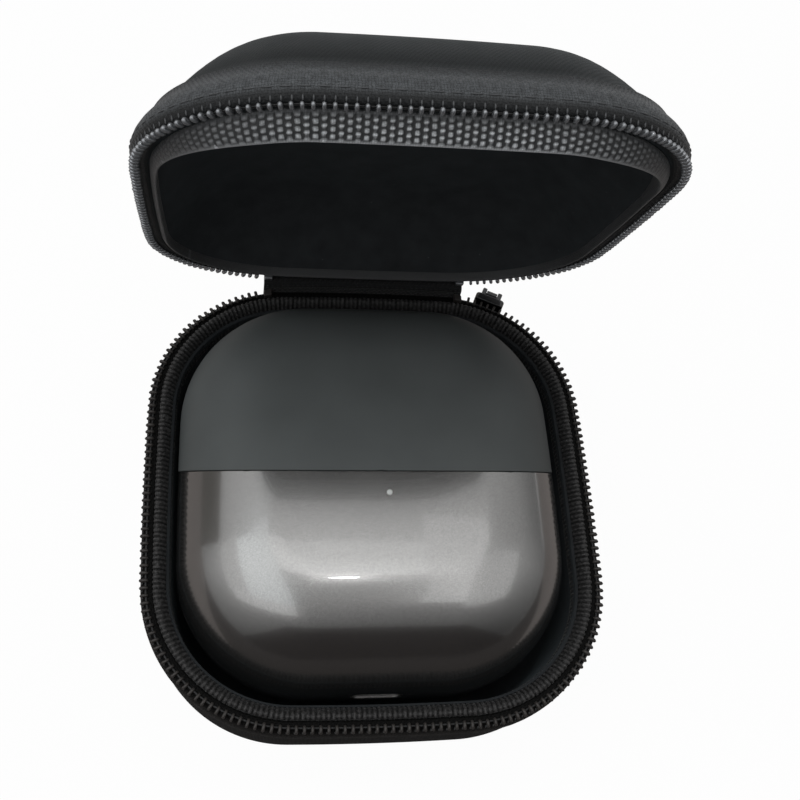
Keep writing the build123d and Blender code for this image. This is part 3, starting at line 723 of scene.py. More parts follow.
@dataclass(frozen=True)
class RibbonFinish(Finish):
    """Woven band that follows the rim by its own UV map, which is in millimetres."""

    pitch_along: float = 0.6
    pitch_across: float = 0.5
    relief: float = 0.12
    sheen: float = 0.4
    # share of the colour on the weave's crests: a painted highlight
    highlight: float = 1.8
    waver: float = 0.12
    melange: float = 0.5
    # painted shade and highlight by the mesh's pointiness: its strength, and the top of the crowns' tone
    crowns: float = 0.0
    crown_top: float = 0.6
    # width across the band of the painted shade beside the coil
    shade_to: float = 0.0
    fade_from: float = 0.0
    fade_width: float = 2.5
    shine: float = 0.3
    # share of the colour in the weave's hollows: a painted shade
    low: float = 0.2
    # painted light round one place along the band: where it is, how far it reaches and how strong it is
    painted_light_at: float = 0.0
    painted_light_reach: float = 26.0
    painted_light_gain: float = 3.5

    def looks(self, w: Wiring) -> Looks:
        """Crossing threads with fine fibres on them, the tone mottled like a mixed yarn, with painted shade
        in the weave's hollows and painted highlight on its crests and on the crowns of ribs and beads.
        """
        here = w.node("ShaderNodeUVMap", uv_map="UVMap").outputs["UV"]
        along, across, _ = w.axes(here)
        pitches = {"Pitch_U": self.pitch_along, "Pitch_V": self.pitch_across}
        weave = w.group("weave", here, Waver=self.waver, **pitches)["Height"]
        fibres = w.group("grain", here, Size=0.12, Rough=0.7)["Height"]
        # the weave's height gives the tone, with painted shade in its hollows; the noise mottles it like a
        # mixed yarn
        tone = weave * w.spread(w.noise(here, 1.1, 3.0), 1.0 - self.melange, 1.0 + self.melange)
        # painted shade and highlight: by pointiness the tone falls to nothing in the dips between ribs and
        # beads and rises on their crowns
        if self.crowns:
            crown = w.clamp((w.raised() - 0.5) * self.crowns, self.crown_top)
            tone = crown * w.spread(tone, 0.6, 1.2)
        # painted shade: the tape is darker over its first millimetres across, beside and under the coil
        if self.shade_to:
            tone = tone * w.spread(across - self.shade_to, 0.1, 1.0)
        if self.fade_from:
            before = (self.fade_from + self.fade_width - across) / self.fade_width
            tone = tone * w.spread(before, 0.15, 1.0)
        # painted light: the threads are lighter round one place along the band
        if self.painted_light_at:
            tone = tone * self.painted_light(w, here, along)
        return {
            "Base Color": self.shades(w, tone, self.low, self.highlight, clamped=False),
            "Specular IOR Level": self.shine,
            "Roughness": self.rough(w, fibres, 0.1, 0.1),
            "Sheen Weight": self.sheen,
            "Sheen Roughness": 0.35,
            "Normal": w.bump(weave + fibres * 0.25, self.relief),
        }

    def painted_light(self, w: Wiring, here, along: Value) -> Value:
        """Painted light: how much lighter the threads are round one place along the band, the lit front
        stretch of the lid.
        """
        away = w.math("ABSOLUTE", along - self.painted_light_at)
        near = w.spread(1.6 - away / self.painted_light_reach, 0.0, self.painted_light_gain)
        return near * w.spread(w.noise(here, 0.07, 2.0), 0.7, 1.3) + 1.0


@dataclass(frozen=True)
class MouldedFinish(Finish):
    """Moulded plastic or rubber with a fine even grain."""

    grain: float = 0.25
    relief: float = 0.01
    coat: float = 0.0
    worn: float = 0.25
    shine: float = 0.5

    def looks(self, w: Wiring) -> Looks:
        """Fine grain, slow shade changes, smears and slightly rubbed edges."""
        here = self.space(w)
        grain = w.group("grain", here, Size=self.grain, Rough=0.8)["Height"]
        smear = w.group("dust", here, Size=3.1, Amount=0.02)["Smear"]
        wear = w.group("wear", here, Size=1.5, Amount=self.worn)["Mask"]
        looks = {
            "Base Color": w.blend(wear, self.shades(w, smear, 0.85, 1.15), self.lighter(1.7, 0.01)),
            "Roughness": self.rough(w, smear, 0.05, 0.07) - wear * 0.1,
            "Specular IOR Level": self.shine,
            "Normal": w.bump(grain, self.relief),
        }
        if self.coat:
            looks |= {"Coat Weight": self.coat, "Coat Roughness": 0.08}
        return looks


@dataclass(frozen=True)
class LacquerFinish(Finish):
    """Metallic paint with tiny flakes under a clear coat."""

    metallic: float = 0.8
    flake: float = 0.09
    coat: float = 0.7

    def looks(self, w: Wiring) -> Looks:
        """Flakes that vary in tone and tilt, and faint smears in the gloss."""
        here = self.space(w)
        cells = w.node("ShaderNodeTexVoronoi", {"Vector": here, "Scale": 1 / self.flake})
        flakes = w.node("ShaderNodeSeparateColor", {0: cells.outputs["Color"]}).outputs
        smear = w.group("dust", here, Size=2.0, Amount=0.02)["Smear"]
        return {
            "Base Color": self.shades(w, flakes[0], 0.86, 1.14),
            "Metallic": self.metallic,
            "Roughness": self.rough(w, smear, 0.03, 0.05),
            "Coat Weight": self.coat,
            "Coat Roughness": 0.05,
            "Normal": w.bump(flakes[1], 0.004, 0.5),
        }


@dataclass(frozen=True)
class MetalFinish(Finish):
    """Bare or plated metal, brushed along X or even all round."""

    brushed: bool = False

    def looks(self, w: Wiring) -> Looks:
        """Fine scratches, tarnish and rubbed edges."""
        here = self.space(w)
        stretch = (0.04, 1.0, 1.0) if self.brushed else (1.0, 1.0, 1.0)
        stretched = w.node("ShaderNodeMapping", {"Vector": here, "Scale": stretch}).outputs["Vector"]
        grain = w.group("grain", stretched, Size=0.1, Rough=0.7)["Height"]
        wear = w.group("wear", here, Size=0.9, Amount=0.6)["Mask"]
        return {
            "Base Color": w.blend(wear, self.shades(w, grain, 0.75, 1.2), self.lighter(1.6, 0.05)),
            "Metallic": 1.0,
            "Roughness": self.rough(w, grain, 0.08, 0.12),
            "Normal": w.bump(grain, 0.006),
        }


@dataclass(frozen=True)
class FoilFinish(Finish):
    """Thin steel foil etched with staggered rows of holes."""

    pitch: float = 0.75

    def looks(self, w: Wiring) -> Looks:
        """Staggered round holes, not cut through but painted near black as the shade inside them, with
        raised rims.
        """
        x, _, z = w.axes(self.space(w))
        far = []
        for offset in (0.0, 0.5):
            a, b = (
                (w.math("FRACT", source / pitch + offset) - 0.5) * pitch
                for source, pitch in ((x, self.pitch), (z, self.pitch * 1.7))
            )
            far.append(w.math("SQRT", a * a + b * b))
        hole = w.math("LESS_THAN", w.math("MINIMUM", *far), self.pitch * 0.33)
        solid = 1.0 - hole
        return {
            # painted shade: each hole is coloured near black for the shade inside it
            "Base Color": w.blend(hole, self.colour, (0.01, 0.01, 0.01)),
            "Metallic": solid,
            "Roughness": w.spread(hole, self.roughness, 0.8),
            "Normal": w.bump(solid, 0.05),
        }


@dataclass(frozen=True)
class BoardFinish(Finish):
    """Circuit board: solder resist over tracks, with bare pads."""

    cell: float = 2.64

    def looks(self, w: Wiring) -> Looks:
        """Tracks as straight runs of cells, and small plated pads."""
        inputs = {"Vector": self.space(w), "Scale": 1 / self.cell}
        away = w.node("ShaderNodeTexVoronoi", inputs, distance="MANHATTAN").outputs["Distance"]
        track = w.math("GREATER_THAN", w.math("FRACT", w.math("MULTIPLY", away, 3.0)), 0.6)
        pad = w.math("LESS_THAN", away, 0.14)
        return {
            "Base Color": w.blend(pad, self.shades(w, track, 0.7, 1.8), (0.75, 0.62, 0.35)),
            "Metallic": pad,
            "Roughness": w.spread(pad, self.roughness, 0.25),
            "Normal": w.bump(track, 0.04),
        }


@dataclass(frozen=True)
class WoundFinish(Finish):
    """Enamelled wire wound round X."""

    wire: float = 0.35

    def looks(self, w: Wiring) -> Looks:
        """Close round turns side by side, with painted shade in the grooves between them."""
        here = self.space(w)
        wave = w.math("ABSOLUTE", w.math("SINE", w.axes(here)[0] / self.wire * math.pi))
        grain = w.group("grain", here, Size=0.3, Rough=0.5)["Value"]
        return {
            # painted shade: the colour falls to about a third in the grooves between the turns
            "Base Color": self.shades(w, wave, 0.35, 1.2),
            "Metallic": 0.9,
            "Coat Weight": 0.5,
            "Roughness": w.spread(grain, 0.25, 0.45),
            "Normal": w.bump(wave, 0.15),
        }


@dataclass(frozen=True)
class LampFinish(Finish):
    """Milky light pipe, glowing faintly."""

    def looks(self, w: Wiring) -> Looks:
        """Slightly cloudy and clear plastic."""
        grain = w.group("grain", self.space(w), Size=0.3, Rough=0.5)["Value"]
        return {
            "Base Color": self.shades(w, grain, 0.8, 1.2),
            "Roughness": w.spread(grain, 0.15, 0.3),
            "Coat Weight": 0.5,
            "Emission Color": (1.0, 1.0, 1.0),
            "Emission Strength": 0.08,
        }


class Palette:
    """Every finish of the case and the shaver, each made once."""

    def __init__(self) -> None:
        """Make the materials."""
        rim = {"pitch_along": 0.36, "pitch_across": 0.4, "relief": 0.04, "sheen": 0.2, "crowns": 9.0}
        band = {"pitch_along": 0.42, "pitch_across": 0.42, "waver": 0.7}
        finishes = (
            # painted shade and light: the case is one knitted fabric, but the base's copy is darker, as the
            # base stands in shade, and the lid's copy is lighter, as it catches the light
            KnitFinish("shell_knit", (0.005, 0.0048, 0.0047), 0.66, 0.36, sheen=0.02, shine=0.1),
            KnitFinish("lid_knit", (0.008, 0.0092, 0.0096), 0.6, 0.36, sheen=0.1, turn=71.2),
            KnitFinish("lining_knit", (0.036, 0.039, 0.042), 0.85, 0.3, sheen=0.1, shine=0.1),
            # painted light: rim_ribbon and lid_ribbon are one ribbon; the lid's copy is lighter where it
            # catches the light
            RibbonFinish("rim_ribbon", (0.046, 0.044, 0.044), 0.5, **rim),
            RibbonFinish(
                "lid_ribbon", (0.082, 0.084, 0.087), 0.42,
                # painted light: the lid's ribbon is lighter round the middle of its front stretch
                low=0.75, painted_light_at=134.0, painted_light_gain=21.0, **rim,
            ),
            # painted light and shade: lid_tape and base_tape are one zipper tape, lighter on the lit lid
            # and darker on the shaded base
            RibbonFinish(
                "lid_tape", (0.062, 0.066, 0.07), 0.62,
                relief=0.04, sheen=0.2, melange=1.0, shade_to=2.6, fade_from=6.6, **band,
            ),
            RibbonFinish(
                "base_tape", (0.009, 0.0085, 0.008), 0.65,
                relief=0.05, sheen=0.04, melange=0.8, shade_to=1.5, shine=0.1, **band,
            ),
            RibbonFinish("hinge_twill", (0.006, 0.0065, 0.007), 0.8, 0.5, 0.5, relief=0.08),
            # painted highlight and shade: one black nylon coil, made light and half metallic on the lid so
            # its turns show bright dots, and dark on the shaded base
            LacquerFinish("coil_nylon", (0.26, 0.27, 0.285), 0.34, metallic=0.5, coat=0.6),
            MouldedFinish("dark_coil_nylon", (0.05, 0.045, 0.042), 0.4, 0.2, 0.004, shine=0.3),
            MouldedFinish("stitch_thread", (0.012, 0.012, 0.0125), 0.6, 0.12, 0.02),
            MouldedFinish("tape_thread", (0.07, 0.073, 0.077), 0.5, 0.12, 0.02),
            LacquerFinish("slider_lacquer", (0.012, 0.012, 0.013), 0.3, metallic=0.3, coat=0.6),
            LacquerFinish("body_lacquer", (0.232, 0.23, 0.226), 0.2, metallic=0.92, coat=1.0),
            MouldedFinish(
                "cap_soft_touch", (0.116, 0.126, 0.126), 0.5, 0.14, 0.004, worn=0.05, shine=0.22
            ),
            MouldedFinish("seal_rubber", (0.01, 0.01, 0.01), 0.7),
            LampFinish("lamp_pipe", (0.75, 0.77, 0.75), 0.25),
            MetalFinish("steel", (0.56, 0.55, 0.54), 0.3, brushed=True),
            MetalFinish("dull_steel", (0.3, 0.3, 0.3), 0.42),
            FoilFinish("foil_steel", (0.7, 0.69, 0.67), 0.22),
            MouldedFinish("black_plastic", (0.014, 0.014, 0.015), 0.4, 0.3, 0.008),
            BoardFinish("board", (0.01, 0.09, 0.035), 0.35),
            MouldedFinish("cell_wrap", (0.02, 0.09, 0.16), 0.35, 0.4, 0.004, coat=0.3),
            WoundFinish("copper_wire", (0.72, 0.3, 0.14), 0.3),
            MetalFinish("magnet_plate", (0.42, 0.42, 0.44), 0.25),
        )
        self.made = {finish.name: finish.build() for finish in finishes}

    def __getitem__(self, name: str) -> bpy.types.Material:
        """The material of that name."""
        return self.made[name]


# ------------------------------------------------------------------ repeated elements


class Element(Enum):
    """Small shapes that are repeated along a path."""

    COIL_TURN = "coil_turn"
    STITCH = "stitch"
    GRIP_BAR = "grip_bar"


@dataclass(frozen=True)
class Repeat:
    """One small shape set on many places by a tree of geometry nodes; sizes in millimetres."""

    element: Element
    length: float
    width: float
    height: float
    wire: float = 0.3
    seed: int = 7

    def tree(self) -> bpy.types.NodeTree:
        """Build the tree with its named inputs; it ends in Realize Instances and Set Material."""
        tree = bpy.data.node_groups.new(f"repeat_{self.element.value}", "GeometryNodeTree")
        socket = tree.interface.new_socket
        socket("Geometry", in_out="INPUT", socket_type="NodeSocketGeometry")
        for name in ("Length", "Width", "Height", "Wire Radius"):
            socket(name, in_out="INPUT", socket_type="NodeSocketFloat")
        socket("Seed", in_out="INPUT", socket_type="NodeSocketInt")
        socket("Material", in_out="INPUT", socket_type="NodeSocketMaterial")
        socket("Geometry", in_out="OUTPUT", socket_type="NodeSocketGeometry")
        w = Wiring(tree)
        given = w.node("NodeGroupInput").outputs
        sizes = {"X": given["Length"], "Y": given["Width"], "Z": given["Height"]}
        size = w.node("ShaderNodeCombineXYZ", sizes).outputs["Vector"]
        shape = {"Geometry": self._shape(w, size, given["Wire Radius"])}
        smooth = w.node("GeometryNodeSetShadeSmooth", shape)
        turn = w.node("GeometryNodeInputNamedAttribute", {"Name": "turn"}, data_type="FLOAT_VECTOR")
        spin = w.node("FunctionNodeEulerToRotation", {"Euler": turn.outputs["Attribute"]})
        scale = {2: 0.94, 3: 1.06, "Seed": given["Seed"]}
        vary = w.node("FunctionNodeRandomValue", scale, data_type="FLOAT")
        places = {
            "Points": given["Geometry"],
            "Instance": smooth.outputs["Geometry"],
            "Rotation": spin.outputs["Rotation"],
            "Scale": vary.outputs[1],
        }
        place = w.node("GeometryNodeInstanceOnPoints", places)
        real = w.node("GeometryNodeRealizeInstances", {"Geometry": place.outputs["Instances"]})
        dressed = {"Geometry": real.outputs["Geometry"], "Material": given["Material"]}
        finish = w.node("GeometryNodeSetMaterial", dressed)
        w.node("NodeGroupOutput", {"Geometry": finish.outputs["Geometry"]})
        return tree

    def _shape(self, w: Wiring, size, wire_radius) -> bpy.types.NodeSocket:
        """Add the nodes of the repeated shape and give the socket that carries it."""
        if self.element is Element.COIL_TURN:
            loop = w.node("GeometryNodeCurvePrimitiveCircle", {"Resolution": 9, "Radius": 0.5})
            oval = w.node("GeometryNodeTransform", {"Geometry": loop.outputs["Curve"], "Scale": size})
            thin = {"Resolution": 6, "Radius": wire_radius}
            wire = w.node("GeometryNodeCurvePrimitiveCircle", thin)
            curves = {"Curve": oval.outputs["Geometry"], "Profile Curve": wire.outputs["Curve"]}
            return w.node("GeometryNodeCurveToMesh", curves).outputs["Mesh"]
        ball = w.node("GeometryNodeMeshUVSphere", {"Segments": 8, "Rings": 5, "Radius": 0.5})
        grown = w.node("GeometryNodeTransform", {"Geometry": ball.outputs["Mesh"], "Scale": size})
        return grown.outputs["Geometry"]

    def lay(
        self, name: str, points: np.ndarray, turns: np.ndarray,
        body: str, slot: str, material: bpy.types.Material, *nodes: str,
    ) -> None:
        """Set the shape on every place, as one piece with a plain mesh, and hand it over.

        Args:
            name: the new piece's name.
            points: the places, in the row frame's millimetres.
            turns: the turn at each place, as XYZ Euler angles in radians.
            body: the CAD body that the piece moves with.
            slot: the material slot of the record.
            material: the finish of the shapes.
            nodes: the CAD nodes that the piece replaces.
        """
        obj = plain_object(name, (points * MM).tolist(), [])
        turn = obj.data.attributes.new("turn", "FLOAT_VECTOR", "POINT")
        turn.data.foreach_set("vector", np.asarray(turns, np.float32).ravel())
        modifier = obj.modifiers.new("repeat", "NODES")
        modifier.node_group = self.tree()
        values = {
            "Length": self.length * MM,
            "Width": self.width * MM,
            "Height": self.height * MM,
            "Wire Radius": self.wire * MM,
            "Seed": self.seed,
            "Material": material,
        }
        for item in modifier.node_group.interface.items_tree:
            if item.in_out == "INPUT" and item.name in values:
                modifier[item.identifier] = values[item.name]
        settle(obj)
        if "turn" in obj.data.attributes:
            obj.data.attributes.remove(obj.data.attributes["turn"])
        hand_over(obj, body, slot, material, *nodes)


def turns_along(tangent: np.ndarray, up: np.ndarray) -> np.ndarray:
    """Euler angles that turn X to the tangent and Z to up.

    Args:
        tangent: directions along the path.
        up: directions away from the surface.

    Returns:
        One row of XYZ Euler angles for each place.
    """
    rows = []
    for along, away in zip(tangent, up):
        x = Vector(along).normalized()
        z = Vector(away)
        z = (z - z.dot(x) * x).normalized()
        y = z.cross(x)
        rows.append(tuple(Matrix((x, y, z)).transposed().to_euler("XYZ")))
    return np.array(rows)


# ------------------------------------------------------------------ case


@dataclass(frozen=True)
class HingePlace:
    """Where the halves of the case are, in millimetres and degrees."""

    rim_height: float = 29.0
    axis_y: float = 44.1
    axis_z: float = 29.4
    open_angle: float = 71.2

    def base(self) -> Matrix:
        """From a half's own frame, rim plane at Z 0, to the base's place."""
        return Matrix.Translation((0, 0, self.rim_height))

    def lid(self) -> Matrix:
        """From a half's own frame to the lid's place, turned over and opened."""
        out = Matrix.Translation((0, self.axis_y, self.axis_z))
        turn = Matrix.Rotation(-math.radians(self.open_angle), 4, "X")
        back = Matrix.Translation((0, -self.axis_y, 0))
        return out @ turn @ back @ Matrix.Diagonal((1, 1, -1, 1))


@dataclass(frozen=True)
class CaseHalf:
    """One half of the case: foam shell, lining, ribbon, zipper tape, coil and stitches."""

    body: str
    place: Matrix
    height: float
    edge: float
    draft: float
    crown: float
    ribbon: Section
    seat: Section
    tape_section: Section
    knit: str
    ribbon_finish: str
    tape_finish: str
    outline: Outline
    fine_outline: Outline
    foam: float = 4.0
    cloth: float = 0.6
    land: float = 1.3
    coil_pitch: float = 1.35
    rib_pitch: float = 0.86
    rib_height: float = 0.36
    bead_pitch: float = 0.95
    rows: int = 33
    tuck: float = 0.0
    front_only: float = 0.0
    mouth: float = 0.0
    stitch_seat: tuple[float, float] = (-0.1, 5.0)
    stitch_finish: str = "stitch_thread"
    stitch_pitch: float = 2.4
    coil_finish: str = "dark_coil_nylon"
    coil_seat: tuple[float, float] = (0.5, 0.85)
    bead: float = 0.12
    bead_end: float = 99.0
    coil_start: float = 21.6

    def wall(self, offset: float, first: float, bend_steps: int = 14) -> list[tuple[float, float]]:
        """Section of the half's wall, from near the rim to the flat of its far face.

        Args:
            offset: how far inside the outer skin.
            first: depth below the rim plane of the first point.
            bend_steps: points round the far edge.

        Returns:
            Pairs of inset and depth.
        """
        lean = math.radians(self.draft)
        radius, far = self.edge - offset, self.height - offset
        middle_z = radius - far
        middle_i = offset + (radius - middle_z * math.sin(lean)) / math.cos(lean)
        bend_start = math.pi + lean
        straight_end = -(middle_z + radius * math.sin(bend_start))
        section = []
        if first < straight_end:
            for depth in np.linspace(first, straight_end, 7)[:-1]:
                section.append((offset + math.tan(lean) * depth, depth))
        else:
            bend_start = math.pi + math.asin((first + middle_z) / radius)
        for turn in np.linspace(bend_start, 1.5 * math.pi, bend_steps):
            section.append((middle_i + radius * math.cos(turn), -(middle_z + radius * math.sin(turn))))
        shift = self.widened if offset > 0 else self.tucked
        return [(inset + shift(depth), depth) for inset, depth in section]

    def widened(self, depth: float) -> float:
        """Change of inset where the inner wall opens towards the rim."""
        return -self.mouth * max(0.0, 1 - (depth - 1) / 9.0) ** 1.6

    def tucked(self, depth: float) -> float:
        """Extra inset where the outer wall is drawn in above the tape."""
        rise, fade = unit((depth - 6.0) / 2.5), unit((self.height - 0.5 - depth) / 6.0)
        return self.tuck * math.sin(rise * math.pi / 2) * math.sin(fade * math.pi / 2)

    def bulge(self, x: np.ndarray, y: np.ndarray, share: float = 1.0) -> np.ndarray:
        """Extra depth of the gently domed far face."""
        a, b = self.outline.width / 2, self.outline.depth / 2
        rise = (1 - (x / a) ** 2) * (1 - (y / b) ** 2)
        return share * self.crown * np.clip(rise, 0, 1) ** 2

    def rings(self, section: Section) -> list[np.ndarray]:
        """Rings of points along a section, with the dome added."""
        made = []
        top = min(range(len(section)), key=lambda k: section[k][1])
        for k, (inset, depth) in enumerate(section):
            full = section[0][1] if k < top else section[-1][1]
            ring = self.outline.ring(inset, -depth)
            share = unit((depth - 8.0) / (full - 8.0))
            ring[:, 2] -= self.bulge(ring[:, 0], ring[:, 1], share)
            made.append(ring)
        return made

    def bowl(self, name: str, section: Section, far: float) -> bpy.types.Object:
        """Closed bowl from the middle of its inner face over the rim to the middle of its outer face.

        Args:
            name: the piece's name.
            section: insets and depths, from the inner far face over the rim to the outer far face.
            far: how much shallower the inner far face is than the outer one.

        Returns:
            The piece.
        """
        draft = Draft()
        rings = self.rings(section)
        ids = draft.tube(rings, self.outline.along())
        for end, depth in ((0, self.height - far), (-1, section[-1][1])):
            draft.patch(rings[end], ids[end], lambda x, y, z=depth: -z - self.bulge(x, y))
        return draft.build(name, self.place)

    def shell(self, palette: Palette) -> None:
        """Foam shell in its knitted skin, with the groove where the tape is sewn down."""
        inner_rim = self.foam - 0.1 - self.mouth
        lip = self.land + 0.05
        rim = [(inner_rim, lip), (min(2.4, inner_rim - 0.3), self.land), (1.35, lip)]
        inner = self.wall(self.foam, self.land + 0.4)[::-1]
        section = inner + rim + list(self.seat) + self.wall(0.0, 8.0)
        obj = self.bowl(f"{self.body}_knit_shell", section, self.foam)
        hand_over(obj, self.body, "shell_fabric", palette[self.knit], f"{self.body}_shell")

    def lining(self, palette: Palette) -> None:
        """Thin knitted lining inside the foam."""
        inner, start = self.foam + self.cloth, self.land + 0.5
        top = [(self.foam + self.cloth / 2 - self.mouth, self.land + 0.15)]
        section = self.wall(inner, start)[::-1] + top + self.wall(self.foam + 0.08, start)
        obj = self.bowl(f"{self.body}_knit_lining", section, inner)
        hand_over(obj, self.body, "lining_fabric", palette["lining_knit"], f"{self.body}_lining")

    def ribbon_face(self) -> tuple[np.ndarray, np.ndarray, np.ndarray]:
        """Work out the ribbon's section.

        Returns:
            Distances across it, its eased insets and depths, and their outward directions.
        """
        path = np.array(self.ribbon, float)
        knots = np.r_[0, np.cumsum(np.linalg.norm(np.diff(path, axis=0), axis=1))]
        stops = np.linspace(0, knots[-1], self.rows)
        face = np.c_[np.interp(stops, knots, path[:, 0]), np.interp(stops, knots, path[:, 1])]
        for _ in range(2):
            face[1:-1] = 0.25 * face[:-2] + 0.5 * face[1:-1] + 0.25 * face[2:]
        tangent = np.gradient(face, axis=0)
        tangent /= np.linalg.norm(tangent, axis=1)[:, None]
        return stops, face, np.c_[tangent[:, 1], -tangent[:, 0]]

    def ribbon_band(self, palette: Palette) -> None:
        """Ribbed ribbon over the inner edge of the rim; its ribs and beads stand out of it."""
        outline = self.fine_outline
        stops, face, normal = self.ribbon_face()
        along = outline.along(float(np.mean(np.array(self.ribbon)[:, 0])))
        turns = along[:-1] / along[-1] * round(along[-1] / self.rib_pitch)
        rib = np.abs(np.cos(np.pi * turns)) ** 0.8
        parity = np.floor(turns + 0.5) % 2
        slip = 0.3 * np.sin(2.7 * turns) + 0.2 * np.sin(7.1 * turns + 1.3)
        from_front = np.abs(along[:-1] - along[-1] / 2)
        away, plain = (np.clip((from_front - start) / reach, 0, 1) for start, reach in ((22, 34), (20, 16)))
        away = self.front_only * away**2 * (3 - 2 * away)
        first = self.ribbon[0][0]
        rings = []
        for k, (inset, depth) in enumerate(face):
            edge_share = min(k + 0.5, self.rows - 0.5 - k) / self.rows
            fade = math.sin(math.pi * min(1.0, edge_share / 0.12) / 2) ** 2 * unit(self.bead_end - stops[k])
            wave = np.cos(2 * np.pi * stops[k] / self.bead_pitch + np.pi * parity + slip)
            lift = self.rib_height * fade * (rib * (1 - self.bead + self.bead * wave) - 0.4)
            lift = lift * (1 - 0.85 * self.front_only * plain)
            low = depth + max(0.0, self.land - depth) * 0.7 * away
            drawn = inset - ((inset - first + 0.2) * 0.66 + 0.6) * away
            rings.append(outline.ring(drawn + normal[k, 0] * lift, -(low + normal[k, 1] * lift)))
        inner_end = face[-1]
        hidden = ((inner_end[0] - 0.3, inner_end[1]), (self.foam + 0.35, 2.2), (3.4, self.land + 0.15))
        for inset, depth in hidden:
            drawn = inset - ((inset - first + 0.2) * 0.66 + 0.6) * away
            rings.append(outline.ring(drawn, -depth))
        draft = Draft()
        draft.tube(rings, along, closed=True)
        obj = draft.build(f"{self.body}_ribbed_ribbon", self.place, sharp=70.0)
        hand_over(obj, self.body, "ribbon", palette[self.ribbon_finish], f"{self.body}_binding")

    def tape(self, palette: Palette) -> None:
        """Woven zipper tape, rolled over the outer edge of the rim under the coil."""
        draft = Draft()
        rings = [self.outline.ring(inset, -depth) for inset, depth in self.tape_section]
        draft.tube(rings, self.outline.along(), closed=True)
        obj = draft.build(f"{self.body}_woven_tape", self.place, sharp=60.0)
        node = f"{self.body}_zipper_tape"
        hand_over(obj, self.body, "zipper_tape", palette[self.tape_finish], node)

    def row(
        self, seat: tuple[float, float], start: float, end: float, count: int
    ) -> tuple[np.ndarray, np.ndarray, np.ndarray, np.ndarray]:
        """Places for small shapes in a row round the half, in the row frame.

        Args:
            seat: inset and depth of the row.
            start: distance along the outline of the first place.
            end: distance along the outline of the last place.
            count: number of places.

        Returns:
            Positions, and directions outward, along and up.
        """
        plan, outward = self.outline.stations(seat[0], start, end, count)
        turn = np.array(self.place)[:3, :3]
        level, ones = np.zeros(count), np.ones(count)
        ways = (
            np.c_[outward, level],
            np.c_[outward[:, 1], -outward[:, 0], level],
            np.c_[level, level, ones],
        )
        return moved(np.c_[plan, -seat[1] * ones], self.place), *(way @ turn.T for way in ways)

    def coil(self, palette: Palette) -> None:
        """Nylon coil on the outer corner of the rim, open at the hinge, and the threads that hold it."""
        start = self.coil_start
        end = float(self.outline.along(self.coil_seat[0])[-1]) - start
        count = round((end - start) / self.coil_pitch)
        places, across, along, up = self.row(self.coil_seat, start, end, count)
        repeat = Repeat(Element.COIL_TURN, length=1.1, width=0.5, height=1.0, wire=0.29)
        turns = turns_along(across, along + 0.05 * up)
        name, node = f"{self.body}_coil", f"{self.body}_zipper_teeth"
        repeat.lay(name, places, turns, self.body, "zipper_coil", palette[self.coil_finish], node)
        places, across, along, up = self.row((0.14, 1.6), start, end, count)
        thread = Repeat(Element.STITCH, length=0.85, width=0.3, height=0.26)
        turns = turns_along(up - 0.25 * across, across)
        name, finish = f"{self.body}_coil_threads", palette["tape_thread"]
        thread.lay(name, places, turns, self.body, "zipper_coil", finish)

    def coil_core(self, palette: Palette) -> None:
        """Cord that runs inside the coil's turns."""
        end = float(self.outline.along(0.8)[-1]) - self.coil_start
        plan, outward = self.outline.stations(0.8, self.coil_start, end, 240)
        draft = Draft()
        ids = []
        for turn in np.linspace(0, 2 * math.pi, 8, endpoint=False):
            side = plan + outward * 0.18 * math.cos(turn)
            ids.append(draft.add(np.c_[side, np.full(len(plan), -1.0 + 0.14 * math.sin(turn))]))
        for a, b in zip(ids, ids[1:] + ids[:1]):
            for i in range(len(plan) - 1):
                draft.face((a[i], a[i + 1], b[i + 1], b[i]), [(i, 0), (i + 1, 0), (i + 1, 1), (i, 1)])
        for tip in (0, -1):
            draft.blank([ring[tip] for ring in ids])
        obj = draft.build(f"{self.body}_coil_cord", self.place, sharp=60.0)
        hand_over(obj, self.body, "zipper_coil", palette["stitch_thread"])

    def stitches(self, palette: Palette) -> None:
        """Row of stitches that sews the tape down."""
        length = float(self.outline.along(self.stitch_seat[0])[-1])
        count = round(length / self.stitch_pitch)
        half = length / count / 2
        places, across, along, _ = self.row(self.stitch_seat, half, length - half, count)
        repeat = Repeat(Element.STITCH, length=1.7, width=0.22, height=0.16)
        turns = turns_along(along, across)
        name, finish = f"{self.body}_tape_stitches", palette[self.stitch_finish]
        repeat.lay(name, places, turns, self.body, "zipper_tape", finish)

    def stops(self, palette: Palette) -> None:
        """Moulded end stops of the coil beside the hinge."""
        node = f"{self.body}_zipper_stops"
        obj = softened(f"{self.body}_coil_stops", node, 0.25, 3)
        hand_over(obj, self.body, "zipper_coil", palette[self.coil_finish], node)

    def build(self, palette: Palette) -> None:
        """Build every piece of the half."""
        for make in (
            self.shell, self.lining, self.ribbon_band, self.tape,
            self.coil, self.coil_core, self.stitches, self.stops,
        ):
            make(palette)


